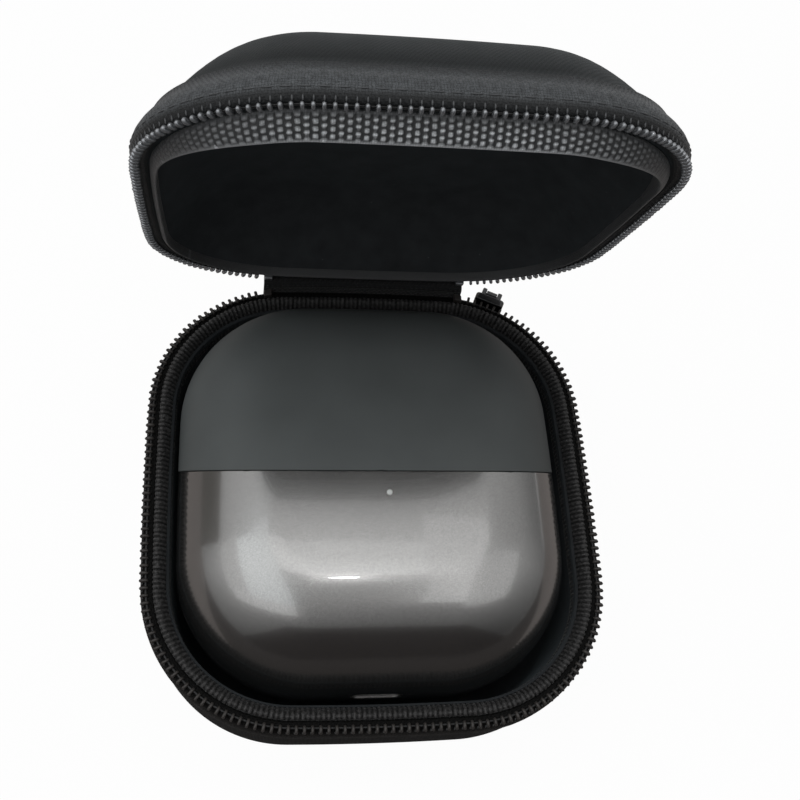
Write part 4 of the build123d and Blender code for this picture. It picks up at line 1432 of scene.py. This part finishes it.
@dataclass(frozen=True)
class HingeStrip:
    """Fabric strip behind the rims that bends between the two halves."""

    hinge: HingePlace
    outline: Outline
    width: float = 40.0
    leaf: float = 6.6
    thickness: float = 0.7
    stand_off: float = 0.38
    bend_reach: float = 2.4
    steps_across: int = 28
    steps_along: int = 36

    def bow(self, xs: np.ndarray) -> np.ndarray:
        """How far the outline's rear side draws forward at places across it."""
        return self.outline.bow * (xs / (self.outline.width / 2 - self.outline.bow)) ** 2

    def centre_line(self) -> list[np.ndarray]:
        """Middle of the strip in the Y and Z of the row frame, from base to lid."""
        wall = self.outline.depth / 2 + self.stand_off
        angle = math.radians(self.hinge.open_angle)
        fold = np.array((self.hinge.axis_y, self.hinge.axis_z))
        up = np.array((math.sin(angle), math.cos(angle)))
        inward = np.array((math.cos(angle), -math.sin(angle)))
        line = []
        for t in np.linspace(-1, 1, self.steps_along + 1):
            reach = abs(t) * self.leaf
            ease = math.exp(-((reach / 1.6) ** 2))
            off = (wall - self.hinge.axis_y) * (1 - ease)
            if t < 0:
                line.append(fold + np.array((off, -reach)))
            else:
                line.append(fold + reach * up + off * inward)
        before, after = [line[0]] + line[:-1], line[1:] + [line[-1]]
        return [0.25 * a + 0.5 * b + 0.25 * c for a, b, c in zip(before, line, after)]

    def sheet(self, draft: Draft, xs: np.ndarray, side: float) -> list[np.ndarray]:
        """Add one face of the strip.

        Args:
            draft: takes the points and faces.
            xs: places across the strip.
            side: how far from the middle, as a share of the thickness.

        Returns:
            The indices of the points, row by row.
        """
        line = self.centre_line()
        last = len(line) - 1
        rows = []
        for k, point in enumerate(line):
            nxt, prev = line[min(k + 1, last)], line[max(k - 1, 0)]
            along = (nxt - prev) / np.linalg.norm(nxt - prev)
            out = np.array((along[1], -along[0]))
            hem = 1.0 + 0.35 * math.exp(-(((min(k, last - k) - 3) / 2.0) ** 2))
            move = point + out * side * self.thickness * hem
            rows.append(draft.add(np.c_[xs, move[0] - self.bow(xs), np.full(len(xs), move[1])]))
        step = 0.37
        for k in range(last):
            for i in range(len(xs) - 1):
                quad = (rows[k][i], rows[k][i + 1], rows[k + 1][i + 1], rows[k + 1][i])
                v = k * step
                spots = [(xs[i], v), (xs[i + 1], v), (xs[i + 1], v + step), (xs[i], v + step)]
                draft.face(quad, spots)
        return rows

    def build(self, palette: Palette) -> None:
        """Make the strip's sheet with its hems, and blend it between the halves."""
        xs = np.linspace(-self.width / 2, self.width / 2, self.steps_across + 1)
        draft = Draft()
        low, high = (np.array(self.sheet(draft, xs, side)) for side in (-0.5, 0.5))
        edges = ((low[:, 0], high[:, 0], 0.4), (low[:, -1], high[:, -1], 0.4))
        ends = ((low[0], high[0], 1.4), (low[-1], high[-1], 1.4))
        for under, over, step in edges + ends:
            for a, b, c, d in zip(under, under[1:], over[1:], over):
                draft.face((a, b, c, d), [(0, 0), (step, 0), (step, 0.7), (0, 0.7)])
        obj = draft.build("hinge_fabric", sharp=60.0)
        paint(obj, palette["hinge_twill"])
        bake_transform(obj)
        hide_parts("hinge_strip")
        LOG.info("%s bends between base and lid", obj.name)
        self.stitches(palette)

    def stitches(self, palette: Palette) -> None:
        """Rows of stitches along the strip's two leaves."""
        count = round((self.width - 3) / 2.4)
        xs = np.linspace(-self.width / 2 + 1.5, self.width / 2 - 1.5, count)
        proud = self.outline.depth / 2 + self.stand_off + self.thickness * 0.58
        local = np.c_[xs, proud - self.bow(xs), np.full(count, -5.6)]
        repeat = Repeat(Element.STITCH, length=1.7, width=0.32, height=0.28)
        for body, place in (("base", self.hinge.base()), ("lid", self.hinge.lid())):
            out = np.tile(np.array(place)[:3, :3] @ (0, 1, 0), (count, 1))
            turns = turns_along(np.tile((1.0, 0.0, 0.0), (count, 1)), out)
            name, finish = f"{body}_hinge_stitches", palette["stitch_thread"]
            repeat.lay(name, moved(local, place), turns, body, "shell_fabric", finish)


@dataclass(frozen=True)
class Zipper:
    """Slider and pull, from the CAD solids with rounded edges and a ridged grip."""

    ridge_pitch: float = 0.95
    ridges: int = 7
    grip_length: float = 7.0
    first_ridge: float = 1.6

    def build(self, palette: Palette) -> None:
        """Dress the slider and the pull."""
        lacquer = palette["slider_lacquer"]
        slider = softened("zipper_slider_body", "zipper_slider", 0.22, 3)
        hand_over(slider, "slider", "slider_metal", lacquer, "zipper_slider")
        pull = softened("zipper_pull_tab", "zipper_pull", 0.24, 3)
        hand_over(pull, "pull", "slider_metal", lacquer, "zipper_pull")
        self.grip(lacquer)

    def grip(self, lacquer: bpy.types.Material) -> None:
        """Raised bars across both faces of the pull."""
        mesh = FRAME["nodes"]["zipper_pull"].data
        points = np.array([v.co for v in mesh.vertices]) / MM
        bottom = points[:, 2].min()
        low = points[points[:, 2] < bottom + self.grip_length]
        centre = low.mean(axis=0)
        flat = low[:, :2] - centre[:2]
        _, _, axes = np.linalg.svd(flat - flat.mean(axis=0), full_matrices=False)
        across = np.array((*axes[0], 0.0))
        out = np.array((*axes[1], 0.0))
        thick = float(np.ptp(flat @ axes[1])) / 2
        places, ups = [], []
        for side in (-1, 1):
            for i in range(self.ridges):
                place = centre + out * side * thick
                place[2] = bottom + self.first_ridge + i * self.ridge_pitch
                places.append(place)
                ups.append(out * side)
        turns = turns_along(np.tile(across, (len(places), 1)), np.array(ups))
        repeat = Repeat(Element.GRIP_BAR, length=3.4, width=0.46, height=0.36)
        name = "zipper_pull_ridges"
        repeat.lay(name, np.array(places), turns, "pull", "slider_metal", lacquer)


# ------------------------------------------------------------------ shaver


@dataclass(frozen=True)
class Pebble:
    """Rounded body of the shaver: bowed outline, full round edge and gently domed faces."""

    outline: Outline
    half: float = 19.5
    edge: float = 18.0
    power: float = 2.3
    crown: float = 1.5
    low_crown: float = 0.8
    edge_steps: int = 44

    def height(self, x: np.ndarray, y: np.ndarray, share: float, crown: float) -> np.ndarray:
        """Height of a face where the edge has risen to a share of the full height."""
        a, b = self.outline.width / 2, self.outline.depth / 2
        return share * (self.half - crown * ((x / a) ** 2 + (y / b) ** 2))

    def skin(self, name: str, place: Matrix) -> bpy.types.Object:
        """Make the whole closed surface."""
        rings = []
        for turn in np.linspace(-math.pi / 2, math.pi / 2, 2 * self.edge_steps + 1):
            inset = self.edge * (1 - abs(math.cos(turn)) ** (2 / self.power))
            share = abs(math.sin(turn)) ** (2 / self.power)
            ring = self.outline.ring(inset, 0.0)
            crown = self.crown if turn > 0 else self.low_crown
            ring[:, 2] = math.copysign(1, turn) * self.height(ring[:, 0], ring[:, 1], share, crown)
            rings.append(ring)
        draft = Draft()
        ids = draft.tube(rings, self.outline.along())
        draft.patch(rings[0], ids[0], lambda x, y: -self.height(x, y, 1.0, self.low_crown))
        draft.patch(rings[-1], ids[-1], lambda x, y: self.height(x, y, 1.0, self.crown))
        return draft.build(name, place)


def cut_off(obj: bpy.types.Object, point: Sequence[float], away: Sequence[float]) -> None:
    """Remove the part of a mesh on one side of a plane.

    Args:
        obj: the object.
        point: on the plane, in metres.
        away: direction of the part that goes.
    """
    with edited(obj.data) as bm:
        everything = bm.verts[:] + bm.edges[:] + bm.faces[:]
        plane = {"plane_co": point, "plane_no": away}
        bmesh.ops.bisect_plane(bm, geom=everything, dist=1e-7, clear_outer=True, **plane)
        rim = {v for e in bm.edges if e.is_boundary for v in e.verts}
        near = {v for r in rim for e in r.link_edges for v in e.verts}
        bmesh.ops.remove_doubles(bm, verts=list(near), dist=0.12 * MM)


def prism(name: str, outline: np.ndarray, start: Vector, axes: Matrix, depth: float) -> bpy.types.Object:
    """Straight bar with a flat outline.

    Args:
        name: the object's name.
        outline: rows of two coordinates, in millimetres.
        start: the middle of its first face, in millimetres.
        axes: columns for the outline's two directions and the bar's direction.
        depth: the bar's length, in millimetres.

    Returns:
        The bar.
    """
    draft = Draft()
    turn = np.array(axes)
    flat = np.c_[outline, np.zeros(len(outline))] @ turn.T + np.array(start)
    low, high = draft.add(flat), draft.add(flat + turn[:, 2] * depth)
    draft.band(low, high, np.arange(len(outline) + 1, dtype=float), (0.0, depth))
    draft.blank(low[::-1])
    draft.blank(high)
    return draft.build(name)


def rounded_slot(width: float, height: float, steps: int = 16) -> np.ndarray:
    """Outline of a slot with half-round ends."""
    reach, radius = (width - height) / 2, height / 2
    turns = np.linspace(-math.pi / 2, math.pi / 2, steps)
    right = [(reach + radius * math.cos(a), radius * math.sin(a)) for a in turns]
    left = [(-x, -y) for x, y in right]
    return np.array(right + left)


def disc(radius: float, steps: int) -> np.ndarray:
    """Outline of a circle."""
    turns = np.linspace(0, 2 * math.pi, steps, endpoint=False)
    return radius * np.c_[np.cos(turns), np.sin(turns)]


def carved(obj: bpy.types.Object, cutters: Sequence[bpy.types.Object]) -> None:
    """Cut the given bars out of an object and remove them."""
    for cutter in cutters:
        cut = obj.modifiers.new("cut", "BOOLEAN")
        cut.operation = "DIFFERENCE"
        cut.solver = "EXACT"
        cut.object = cutter
    settle(obj)
    for cutter in cutters:
        bpy.data.objects.remove(cutter)


@dataclass(frozen=True)
class ShaverShells:
    """Outer shells of the shaver: metallic body in two halves and a soft-touch cap."""

    pebble: Pebble
    middle: Point = (-0.6, 0.5, 24.1)
    seam_y: float = 4.7
    seam_lean: float = 22.3
    seam_gap: float = 0.2
    parting: float = 0.12
    body_wall: float = 2.0
    cap_wall: float = 1.8
    socket: Point = (9.0, 3.2, -1.0)
    lamp: Point = (1.2, -7.2, 0.5)
    lamp_clearance: float = 0.05
    button: Point = (0.0, -8.0, 4.45)
    screw_x: float = 22.0
    screw_rows: tuple[float, float] = (-6.5, -20.0)
    screw_hole: float = 1.85

    def seam(self, offset: float) -> tuple[Vector, Vector]:
        """A point on the seam's plane, moved towards the cap, and the plane's direction, in metres."""
        lean = math.radians(self.seam_lean)
        normal = Vector((0, math.cos(lean), math.sin(lean)))
        point = Vector(self.middle) + Vector((0, self.seam_y, 0)) + offset * normal
        return point * MM, normal

    def wall_up(self, obj: bpy.types.Object, thickness: float) -> None:
        """Give an open skin its wall, inwards."""
        wall = obj.modifiers.new("wall", "SOLIDIFY")
        wall.thickness = thickness * MM
        wall.offset = -1
        wall.use_even_offset = True
        settle(obj)

    def build(self, palette: Palette) -> None:
        """Cut the skin into its three shells and finish each one."""
        skin = self.pebble.skin("skin", Matrix.Translation(self.middle))
        names = ("body_front_skin", "body_rear_skin", "cap_skin")
        front, rear, cap = (copy_of(skin, name) for name in names)
        bpy.data.objects.remove(skin)
        split, step = Vector(self.middle) * MM, Vector((0, 0, self.parting / 2 * MM))
        point, normal = self.seam(-self.seam_gap / 2)
        for obj, place, away in ((front, split + step, -1), (rear, split - step, 1)):
            cut_off(obj, point, normal)
            cut_off(obj, place, (0, 0, away))
            self.wall_up(obj, self.body_wall)
        point, normal = self.seam(self.seam_gap / 2)
        cut_off(cap, point, -normal)
        self.wall_up(cap, self.cap_wall)
        carved(front, [self.socket_cutter(), self.lamp_cutter()])
        carved(rear, [self.socket_cutter(), *self.underside_cutters()])
        for obj in (front, rear, cap):
            shade(obj, 40.0)
            bevelled(obj, 0.14, 3, 45.0)
        lacquer, soft = palette["body_lacquer"], palette["cap_soft_touch"]
        hand_over(front, "shaver", "body_plastic", lacquer, "body_front_shell")
        hand_over(rear, "shaver", "body_plastic", lacquer, "body_rear_shell")
        hand_over(cap, "cap", "cap_plastic", soft, "cap_shell")

    def bar(self, outline: np.ndarray, start: Point) -> bpy.types.Object:
        """Upright cutting bar that starts at a place in the shaver's own frame."""
        return prism("cut", outline, Vector(self.middle) + Vector(start), Matrix.Identity(3), 15.0)

    def socket_cutter(self) -> bpy.types.Object:
        """Bar that opens the charging socket's mouth."""
        width, height, z = self.socket
        start = Vector(self.middle) + Vector((0, -self.pebble.outline.depth / 2 - 2, z))
        axes = Matrix(((1, 0, 0), (0, 0, 1), (0, 1, 0)))
        return prism("cut", rounded_slot(width, height), start, axes, 12.0)

    def lamp_cutter(self) -> bpy.types.Object:
        """Bar that opens the lamp's hole."""
        x, y, radius = self.lamp
        return self.bar(disc(radius + self.lamp_clearance, 24), (x, y, 10))

    def underside_cutters(self) -> list[bpy.types.Object]:
        """Bars that open the holes for the button and the four screws."""
        x, y, radius = self.button
        cutters = [self.bar(disc(radius, 64), (x, y, -25))]
        for side in (-1, 1):
            for row in self.screw_rows:
                cutters.append(self.bar(disc(self.screw_hole, 32), (side * self.screw_x, row, -25)))
        return cutters


@dataclass(frozen=True)
class Dressing:
    """How one CAD node is finished: the new piece's name, slot, finish and edge rounding."""

    node: str
    piece: str
    body: str
    slot: str
    finish: str
    rounding: float


@dataclass(frozen=True)
class InnerWorks:
    """Small parts of the shaver, each a CAD solid with its own finish, most of them with rounded edges."""

    rounded: tuple[Dressing, ...] = (
        Dressing("usb_port", "socket_shell", "shaver", "steel", "steel", 0.08),
        Dressing("indicator_lamp", "lamp_pipe", "shaver", "lamp", "lamp_pipe", 0.12),
        Dressing("power_button", "button_cap", "power_button", "body_plastic", "body_lacquer", 0.3),
        Dressing("button_gasket", "button_seal", "shaver", "seal_rubber", "seal_rubber", 0.12),
        Dressing("tact_switch", "switch_case", "shaver", "black_plastic", "black_plastic", 0.2),
        Dressing("chassis", "chassis_frame", "shaver", "black_plastic", "black_plastic", 0.2),
        Dressing("battery", "battery_cell", "shaver", "cell", "cell_wrap", 0.3),
        Dressing("charge_board", "charge_circuit", "shaver", "board", "board", 0.08),
        Dressing("control_board", "control_circuit", "shaver", "board", "board", 0.08),
        Dressing("motor_yoke", "yoke_stack", "shaver", "steel", "dull_steel", 0.2),
        Dressing("motor_coil", "coil_winding", "shaver", "winding", "copper_wire", 0.2),
        Dressing("motor_armature", "armature_plate", "drive", "steel", "dull_steel", 0.15),
        Dressing("motor_magnets", "magnet_blocks", "drive", "magnet", "magnet_plate", 0.1),
        Dressing("motor_springs", "leaf_springs", "shaver", "steel", "steel", 0.05),
        Dressing("drive_pin", "drive_shaft", "drive", "steel", "steel", 0.15),
        Dressing("head_base", "head_deck", "shaver", "black_plastic", "black_plastic", 0.25),
        Dressing("foil_frame", "foil_cassette", "foil_head", "black_plastic", "black_plastic", 0.3),
        Dressing("outer_foil_rear", "rear_foil", "foil_head", "steel", "foil_steel", 0.03),
        Dressing("outer_foil_front", "front_foil", "foil_head", "steel", "foil_steel", 0.03),
        Dressing("slit_foil", "slit_cover", "foil_head", "steel", "steel", 0.04),
        Dressing("blade_carrier", "cutter_plate", "cutters", "black_plastic", "black_plastic", 0.15),
        Dressing("slit_blade", "slit_cutter", "cutters", "steel", "steel", 0.05),
        Dressing(
            "release_button_left", "left_latch", "release_left", "body_plastic", "body_lacquer", 0.1
        ),
        Dressing(
            "release_button_right", "right_latch", "release_right", "body_plastic", "body_lacquer", 0.1
        ),
    )
    springs: tuple[tuple[str, str, str], ...] = (
        ("button_spring", "button_return", "power_button_press"),
        ("release_spring_left", "left_latch_return", "release_left_press"),
        ("release_spring_right", "right_latch_return", "release_right_press"),
        ("float_springs", "foil_returns", "foil_float"),
    )
    kept: tuple[tuple[str, str], ...] = (
        ("body_gasket", "seal_rubber"),
        ("inner_blade_rear", "steel"),
        ("inner_blade_front", "steel"),
        ("case_screws", "dull_steel"),
    )

    def build(self, palette: Palette) -> None:
        """Dress every small part."""
        for part in self.rounded:
            obj = softened(part.piece, part.node, part.rounding)
            hand_over(obj, part.body, part.slot, palette[part.finish], part.node)
        for node, piece, joint in self.springs:
            self.spring(palette, node, piece, joint)
        for node, finish in self.kept:
            paint(FRAME["nodes"][node], palette[finish])
            LOG.info("%s keeps its solid", node)

    @staticmethod
    def spring(palette: Palette, node: str, piece: str, joint: str) -> None:
        """Copy of a spring with its own mesh; the travel of the joint that presses it and the spring's seat
        are worked out, but the copy does not shorten.

        Args:
            palette: the finishes.
            node: the CAD node of the spring.
            piece: the new piece's name.
            joint: the joint that presses it.
        """
        obj = copy_of(FRAME["nodes"][node], piece)
        hand_over(obj, "shaver", "steel", palette["steel"], node)
        found = next(j for j in FRAME["joints"] if j["name"] == joint)
        travel = max(found["range_m"], key=abs)
        axis = Vector(found["axis"]).normalized() * math.copysign(1.0, travel)
        along = [(obj.matrix_world @ vertex.co).dot(axis) for vertex in obj.data.vertices]
        seat = max(along)
        keep = 1 - abs(travel) / (seat - min(along))
        tuple(axis * seat)
        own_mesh(obj)


# ------------------------------------------------------------------ studio


CEILING = 0.75
NEAR_FLOOR = 0.001


@dataclass(frozen=True)
class Softbox:
    """One lamp that looks straight down from the ceiling; a glint shows only in reflections."""

    name: str
    place: tuple[float, float]
    size: tuple[float, float]
    power: float
    tint: Colour = (1.0, 1.0, 1.0)
    glint: bool = False

    def build(self) -> None:
        """Set up the lamp."""
        light = bpy.data.lights.new(self.name, "AREA")
        light.shape = "RECTANGLE"
        light.size, light.size_y = self.size
        light.energy = self.power
        light.color = self.tint
        obj = in_scene(self.name, light)
        obj.location = (*self.place, CEILING)
        obj.rotation_euler = Vector((0, 0, -CEILING)).to_track_quat("-Z", "Y").to_euler()
        obj.visible_diffuse = not self.glint


@dataclass(frozen=True)
class Card:
    """One card that shows only in reflections, and glows where its glow is not nothing."""

    name: str
    corners: tuple[Point, ...]
    colour: Colour = (0.1, 0.085, 0.08)
    glow: float = 0.0

    @classmethod
    def level(cls, name: str, span: Sequence[float], z: float, **looks) -> "Card":
        """Level rectangle from its least X and Y to its greatest X and Y."""
        x0, y0, x1, y1 = span
        return cls(name, ((x0, y0, z), (x1, y0, z), (x1, y1, z), (x0, y1, z)), **looks)

    def build(self) -> None:
        """Set up the card."""
        obj = plain_object(self.name, self.corners, [tuple(range(len(self.corners)))])
        obj.visible_camera = obj.visible_shadow = obj.visible_diffuse = False
        material, wiring, shader = new_material(f"{self.name}_face")
        looks = {
            "Base Color": self.colour,
            "Roughness": 1.0,
            "Emission Color": (1.0, 1.0, 1.0),
            "Emission Strength": self.glow,
        }
        wiring.feed(shader, looks)
        paint(obj, material)


BLACK = (0.0, 0.0, 0.0)
LAMPS = (
    Softbox("left_lamp", (-0.435, -0.09), (0.54, 0.64), 1.3, (0.93, 0.98, 1.0)),
    Softbox("rear_lamp", (0.0, 0.1025), (0.32, 0.175), 0.24),
    Softbox("ceiling_spot", (0.042, -0.009), (0.035, 0.01), 0.085, glint=True),
)
CARDS = (
    Card(
        "front_card",
        ((-0.5, -0.5, 0.0), (0.55, -0.5, 0.0), (0.25, -0.5, 0.4), (-0.2, -0.5, 0.4)),
        (0.15, 0.125, 0.12),
    ),
    Card.level("low_card", (-3.0, -3.0, 3.0, -0.07), NEAR_FLOOR),
    Card.level("side_card", (-3.0, -0.07, 3.0, 0.3), NEAR_FLOOR, colour=(0.52, 0.465, 0.44)),
    Card(
        "left_card",
        ((-0.45, 0.1, 0.0), (-0.25, 0.55, 0.0), (-0.25, 0.55, 0.22), (-0.45, 0.1, 0.22)),
        (0.8, 0.75, 0.69),
    ),
    Card.level("left_glow", (-1.5, -0.45, -0.705, 0.3), CEILING, colour=BLACK, glow=1.35),
    Card.level("corner_glow", (-1.3, -0.62, -0.165, -0.41), CEILING, colour=BLACK, glow=1.6),
    Card.level("right_near_glow", (0.16, -0.36, 0.3, 0.23), CEILING, colour=BLACK, glow=1.9),
    Card.level("right_glow", (0.3, -0.45, 0.95, 0.12), CEILING, colour=BLACK, glow=1.25),
)


@dataclass(frozen=True)
class Studio:
    """Pale floor, graded sky, soft lamps overhead, cards for the reflections and the camera."""

    target: Point = (0.005917, 0.018459, 0.029)
    azimuth: float = -0.324
    elevation: float = 1.072
    roll: float = 0.301
    distance: float = 0.218688
    lens: float = 51.18
    sky: float = 0.46
    floor_glow: float = 0.88
    floor_reach: float = 6.0
    floor_sink: float = 0.0002

    def build(self) -> None:
        """Set up the whole studio."""
        self.world()
        self.floor()
        for item in LAMPS + CARDS:
            item.build()
        self.camera()

    @staticmethod
    def rays(w: Wiring) -> dict[str, Value]:
        """One for the kind of ray that arrives, and zero for the other kinds."""
        path = w.node("ShaderNodeLightPath").outputs
        kinds = ("Camera", "Diffuse", "Glossy", "Transmission")
        return {kind: Value(w, path[f"Is {kind} Ray"]) for kind in kinds}

    def world(self) -> None:
        """White sky at a plain level, less from the front, right and rear and more from the left."""
        world = bpy.data.worlds.new("sky")
        bpy.context.scene.world = world
        world.use_nodes = True
        w = Wiring(world.node_tree)
        x, y, z = w.axes(w.node("ShaderNodeTexCoord").outputs["Generated"])
        rays = self.rays(w)
        diffuse, camera = rays["Diffuse"], rays["Camera"]
        front = w.math("MINIMUM", y, 0.0) * (diffuse * -0.5 + 0.9)
        right = w.math("MAXIMUM", x, 0.0) * (diffuse * -0.12 - 0.36)
        left = w.math("MINIMUM", x, 0.0) * (diffuse * -0.35)
        rear = w.math("MAXIMUM", y, 0.0) * -0.65 * (1.0 - z)
        graded = front + (left + right) + rear + 1.05
        graded = w.math("MAXIMUM", graded * w.math("MINIMUM", z * 0.9 + 0.55, 1.0), 0.08)
        level = (rays["Glossy"] + rays["Transmission"]) * (1.0 - self.sky) + self.sky
        strength = graded * level * (1.0 - camera) + camera
        w.feed(world.node_tree.nodes["Background"], {"Color": (1.0, 1.0, 1.0), "Strength": strength})

    def floor(self) -> None:
        """Wide pale floor that shows white and keeps a light shadow."""
        reach = self.floor_reach
        corners = [(-reach, -reach, 0), (reach, -reach, 0), (reach, reach, 0), (-reach, reach, 0)]
        floor = plain_object("floor", corners, [(0, 1, 2, 3)])
        floor.location = (0, 0, -self.floor_sink)
        material, w, shader = new_material("pale_floor")
        w.feed(shader, {"Base Color": (0.3, 0.3, 0.3), "Roughness": 0.9})
        glow = w.node("ShaderNodeEmission", {"Strength": 1.1})
        rays = self.rays(w)
        seen = w.math("MINIMUM", rays["Camera"] + rays["Glossy"] + rays["Transmission"], 1.0)
        parts = {
            "Fac": seen * self.floor_glow,
            1: shader.outputs["BSDF"],
            2: glow.outputs["Emission"],
        }
        mix = w.node("ShaderNodeMixShader", parts)
        w.feed(material.node_tree.nodes["Material Output"], {"Surface": mix.outputs["Shader"]})
        paint(floor, material)

    def camera(self) -> None:
        """Place the camera by its aim, angles, roll and distance."""
        flat = math.cos(self.elevation)
        side = (math.sin(self.azimuth) * flat, -math.cos(self.azimuth) * flat)
        back = Vector((*side, math.sin(self.elevation)))
        right = Vector((math.cos(self.azimuth), math.sin(self.azimuth), 0))
        up = back.cross(right)
        turned = math.cos(self.roll) * right + math.sin(self.roll) * up
        top = -math.sin(self.roll) * right + math.cos(self.roll) * up
        data = bpy.data.cameras.new("camera")
        data.lens = self.lens
        data.sensor_width = 36.0
        data.clip_start, data.clip_end = 0.01, 30.0
        camera = in_scene("camera", data)
        matrix = Matrix((turned, top, back)).transposed().to_4x4()
        matrix.translation = Vector(self.target) + back * self.distance
        camera.matrix_world = matrix
        bpy.context.scene.camera = camera


# ------------------------------------------------------------------ whole object


SEAT_BASE = (
    (1.05, 1.8), (1.0, 3.6), (1.0, 5.5), (1.15, 6.1), (1.32, 6.45), (1.2, 6.8), (0.86, 7.15), (0.62, 7.55),
)
SEAT_LID = (
    (1.05, 1.8), (1.15, 3.4), (1.6, 4.6), (2.15, 5.5), (2.3, 6.0), (2.28, 6.35), (2.4, 6.8), (2.62, 7.4),
)
TAPE_BASE = (
    (1.95, 1.25), (1.3, 1.12), (0.75, 1.15), (0.3, 1.4), (0.0, 1.95), (-0.18, 2.8),
    (-0.24, 3.7), (-0.2, 4.6), (-0.02, 5.4), (0.28, 5.95), (0.62, 6.2),
    (0.85, 5.8), (0.62, 4.6), (0.55, 3.4), (0.68, 2.4), (1.0, 1.75), (1.5, 1.5),
)
TAPE_LID = (
    (1.95, 1.25), (1.3, 1.12), (0.75, 1.15), (0.3, 1.4), (0.02, 1.95), (-0.12, 2.6), (-0.05, 3.4),
    (0.25, 4.25), (0.75, 5.05), (1.35, 5.75), (1.85, 6.3), (2.3, 6.95), (2.65, 7.6), (2.72, 7.5),
    (2.5, 6.8), (2.15, 5.95), (1.55, 5.2), (1.05, 4.35), (0.78, 3.4), (0.74, 2.4), (1.0, 1.75),
    (1.5, 1.5),
)
RIBBON_LOW = (
    (2.1, 1.25), (2.08, 0.5), (2.35, 0.14), (2.85, 0.14), (3.4, 0.55), (3.95, 1.2), (4.4, 2.0),
    (4.75, 3.0), (4.95, 4.4),
)
RIBBON_TALL = (
    (3.35, 1.3), (3.35, 0.7), (3.6, 0.1), (4.0, -0.65), (4.45, -1.3), (5.0, -1.9), (5.55, -2.25),
    (6.0, -1.95), (6.2, -1.0), (6.4, 0.9), (6.6, 3.2),
)


def main() -> None:
    """Build the case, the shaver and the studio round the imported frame."""
    FRAME.update(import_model())
    logging.basicConfig(level=logging.INFO, format="%(name)s: %(message)s")
    bpy.context.scene.view_settings.view_transform = "Standard"
    palette = Palette()
    hinge = HingePlace()
    sizes = {"width": 83.0, "depth": 87.2, "corner": 26.5, "bow": 1.5}
    outlines = (Outline(**sizes), Outline(**sizes, count=1536))
    base = CaseHalf(
        "base", hinge.base(), 29.0, 13.0, 3.9, 0.0, RIBBON_LOW, SEAT_BASE, TAPE_BASE,
        "shell_knit", "rim_ribbon", "base_tape", *outlines,
    )
    lid = CaseHalf(
        "lid", hinge.lid(), 18.4, 21.5, 11.5, 0.6, RIBBON_TALL, SEAT_LID, TAPE_LID,
        "lid_knit", "lid_ribbon", "lid_tape", *outlines,
        tuck=1.3, front_only=1.0, mouth=1.7, rib_pitch=1.09, bead=0.38, bead_end=4.2,
        stitch_seat=(-0.13, 3.05), stitch_finish="tape_thread",
        coil_seat=(0.58, 0.72), coil_finish="coil_nylon",
    )
    base.build(palette)
    lid.build(palette)
    HingeStrip(hinge, outlines[0]).build(palette)
    Zipper().build(palette)
    ShaverShells(Pebble(Outline(70.2, 74.2, 23.5, 0.8))).build(palette)
    InnerWorks().build(palette)
    Studio().build()


if __name__ == "__main__":
    main()
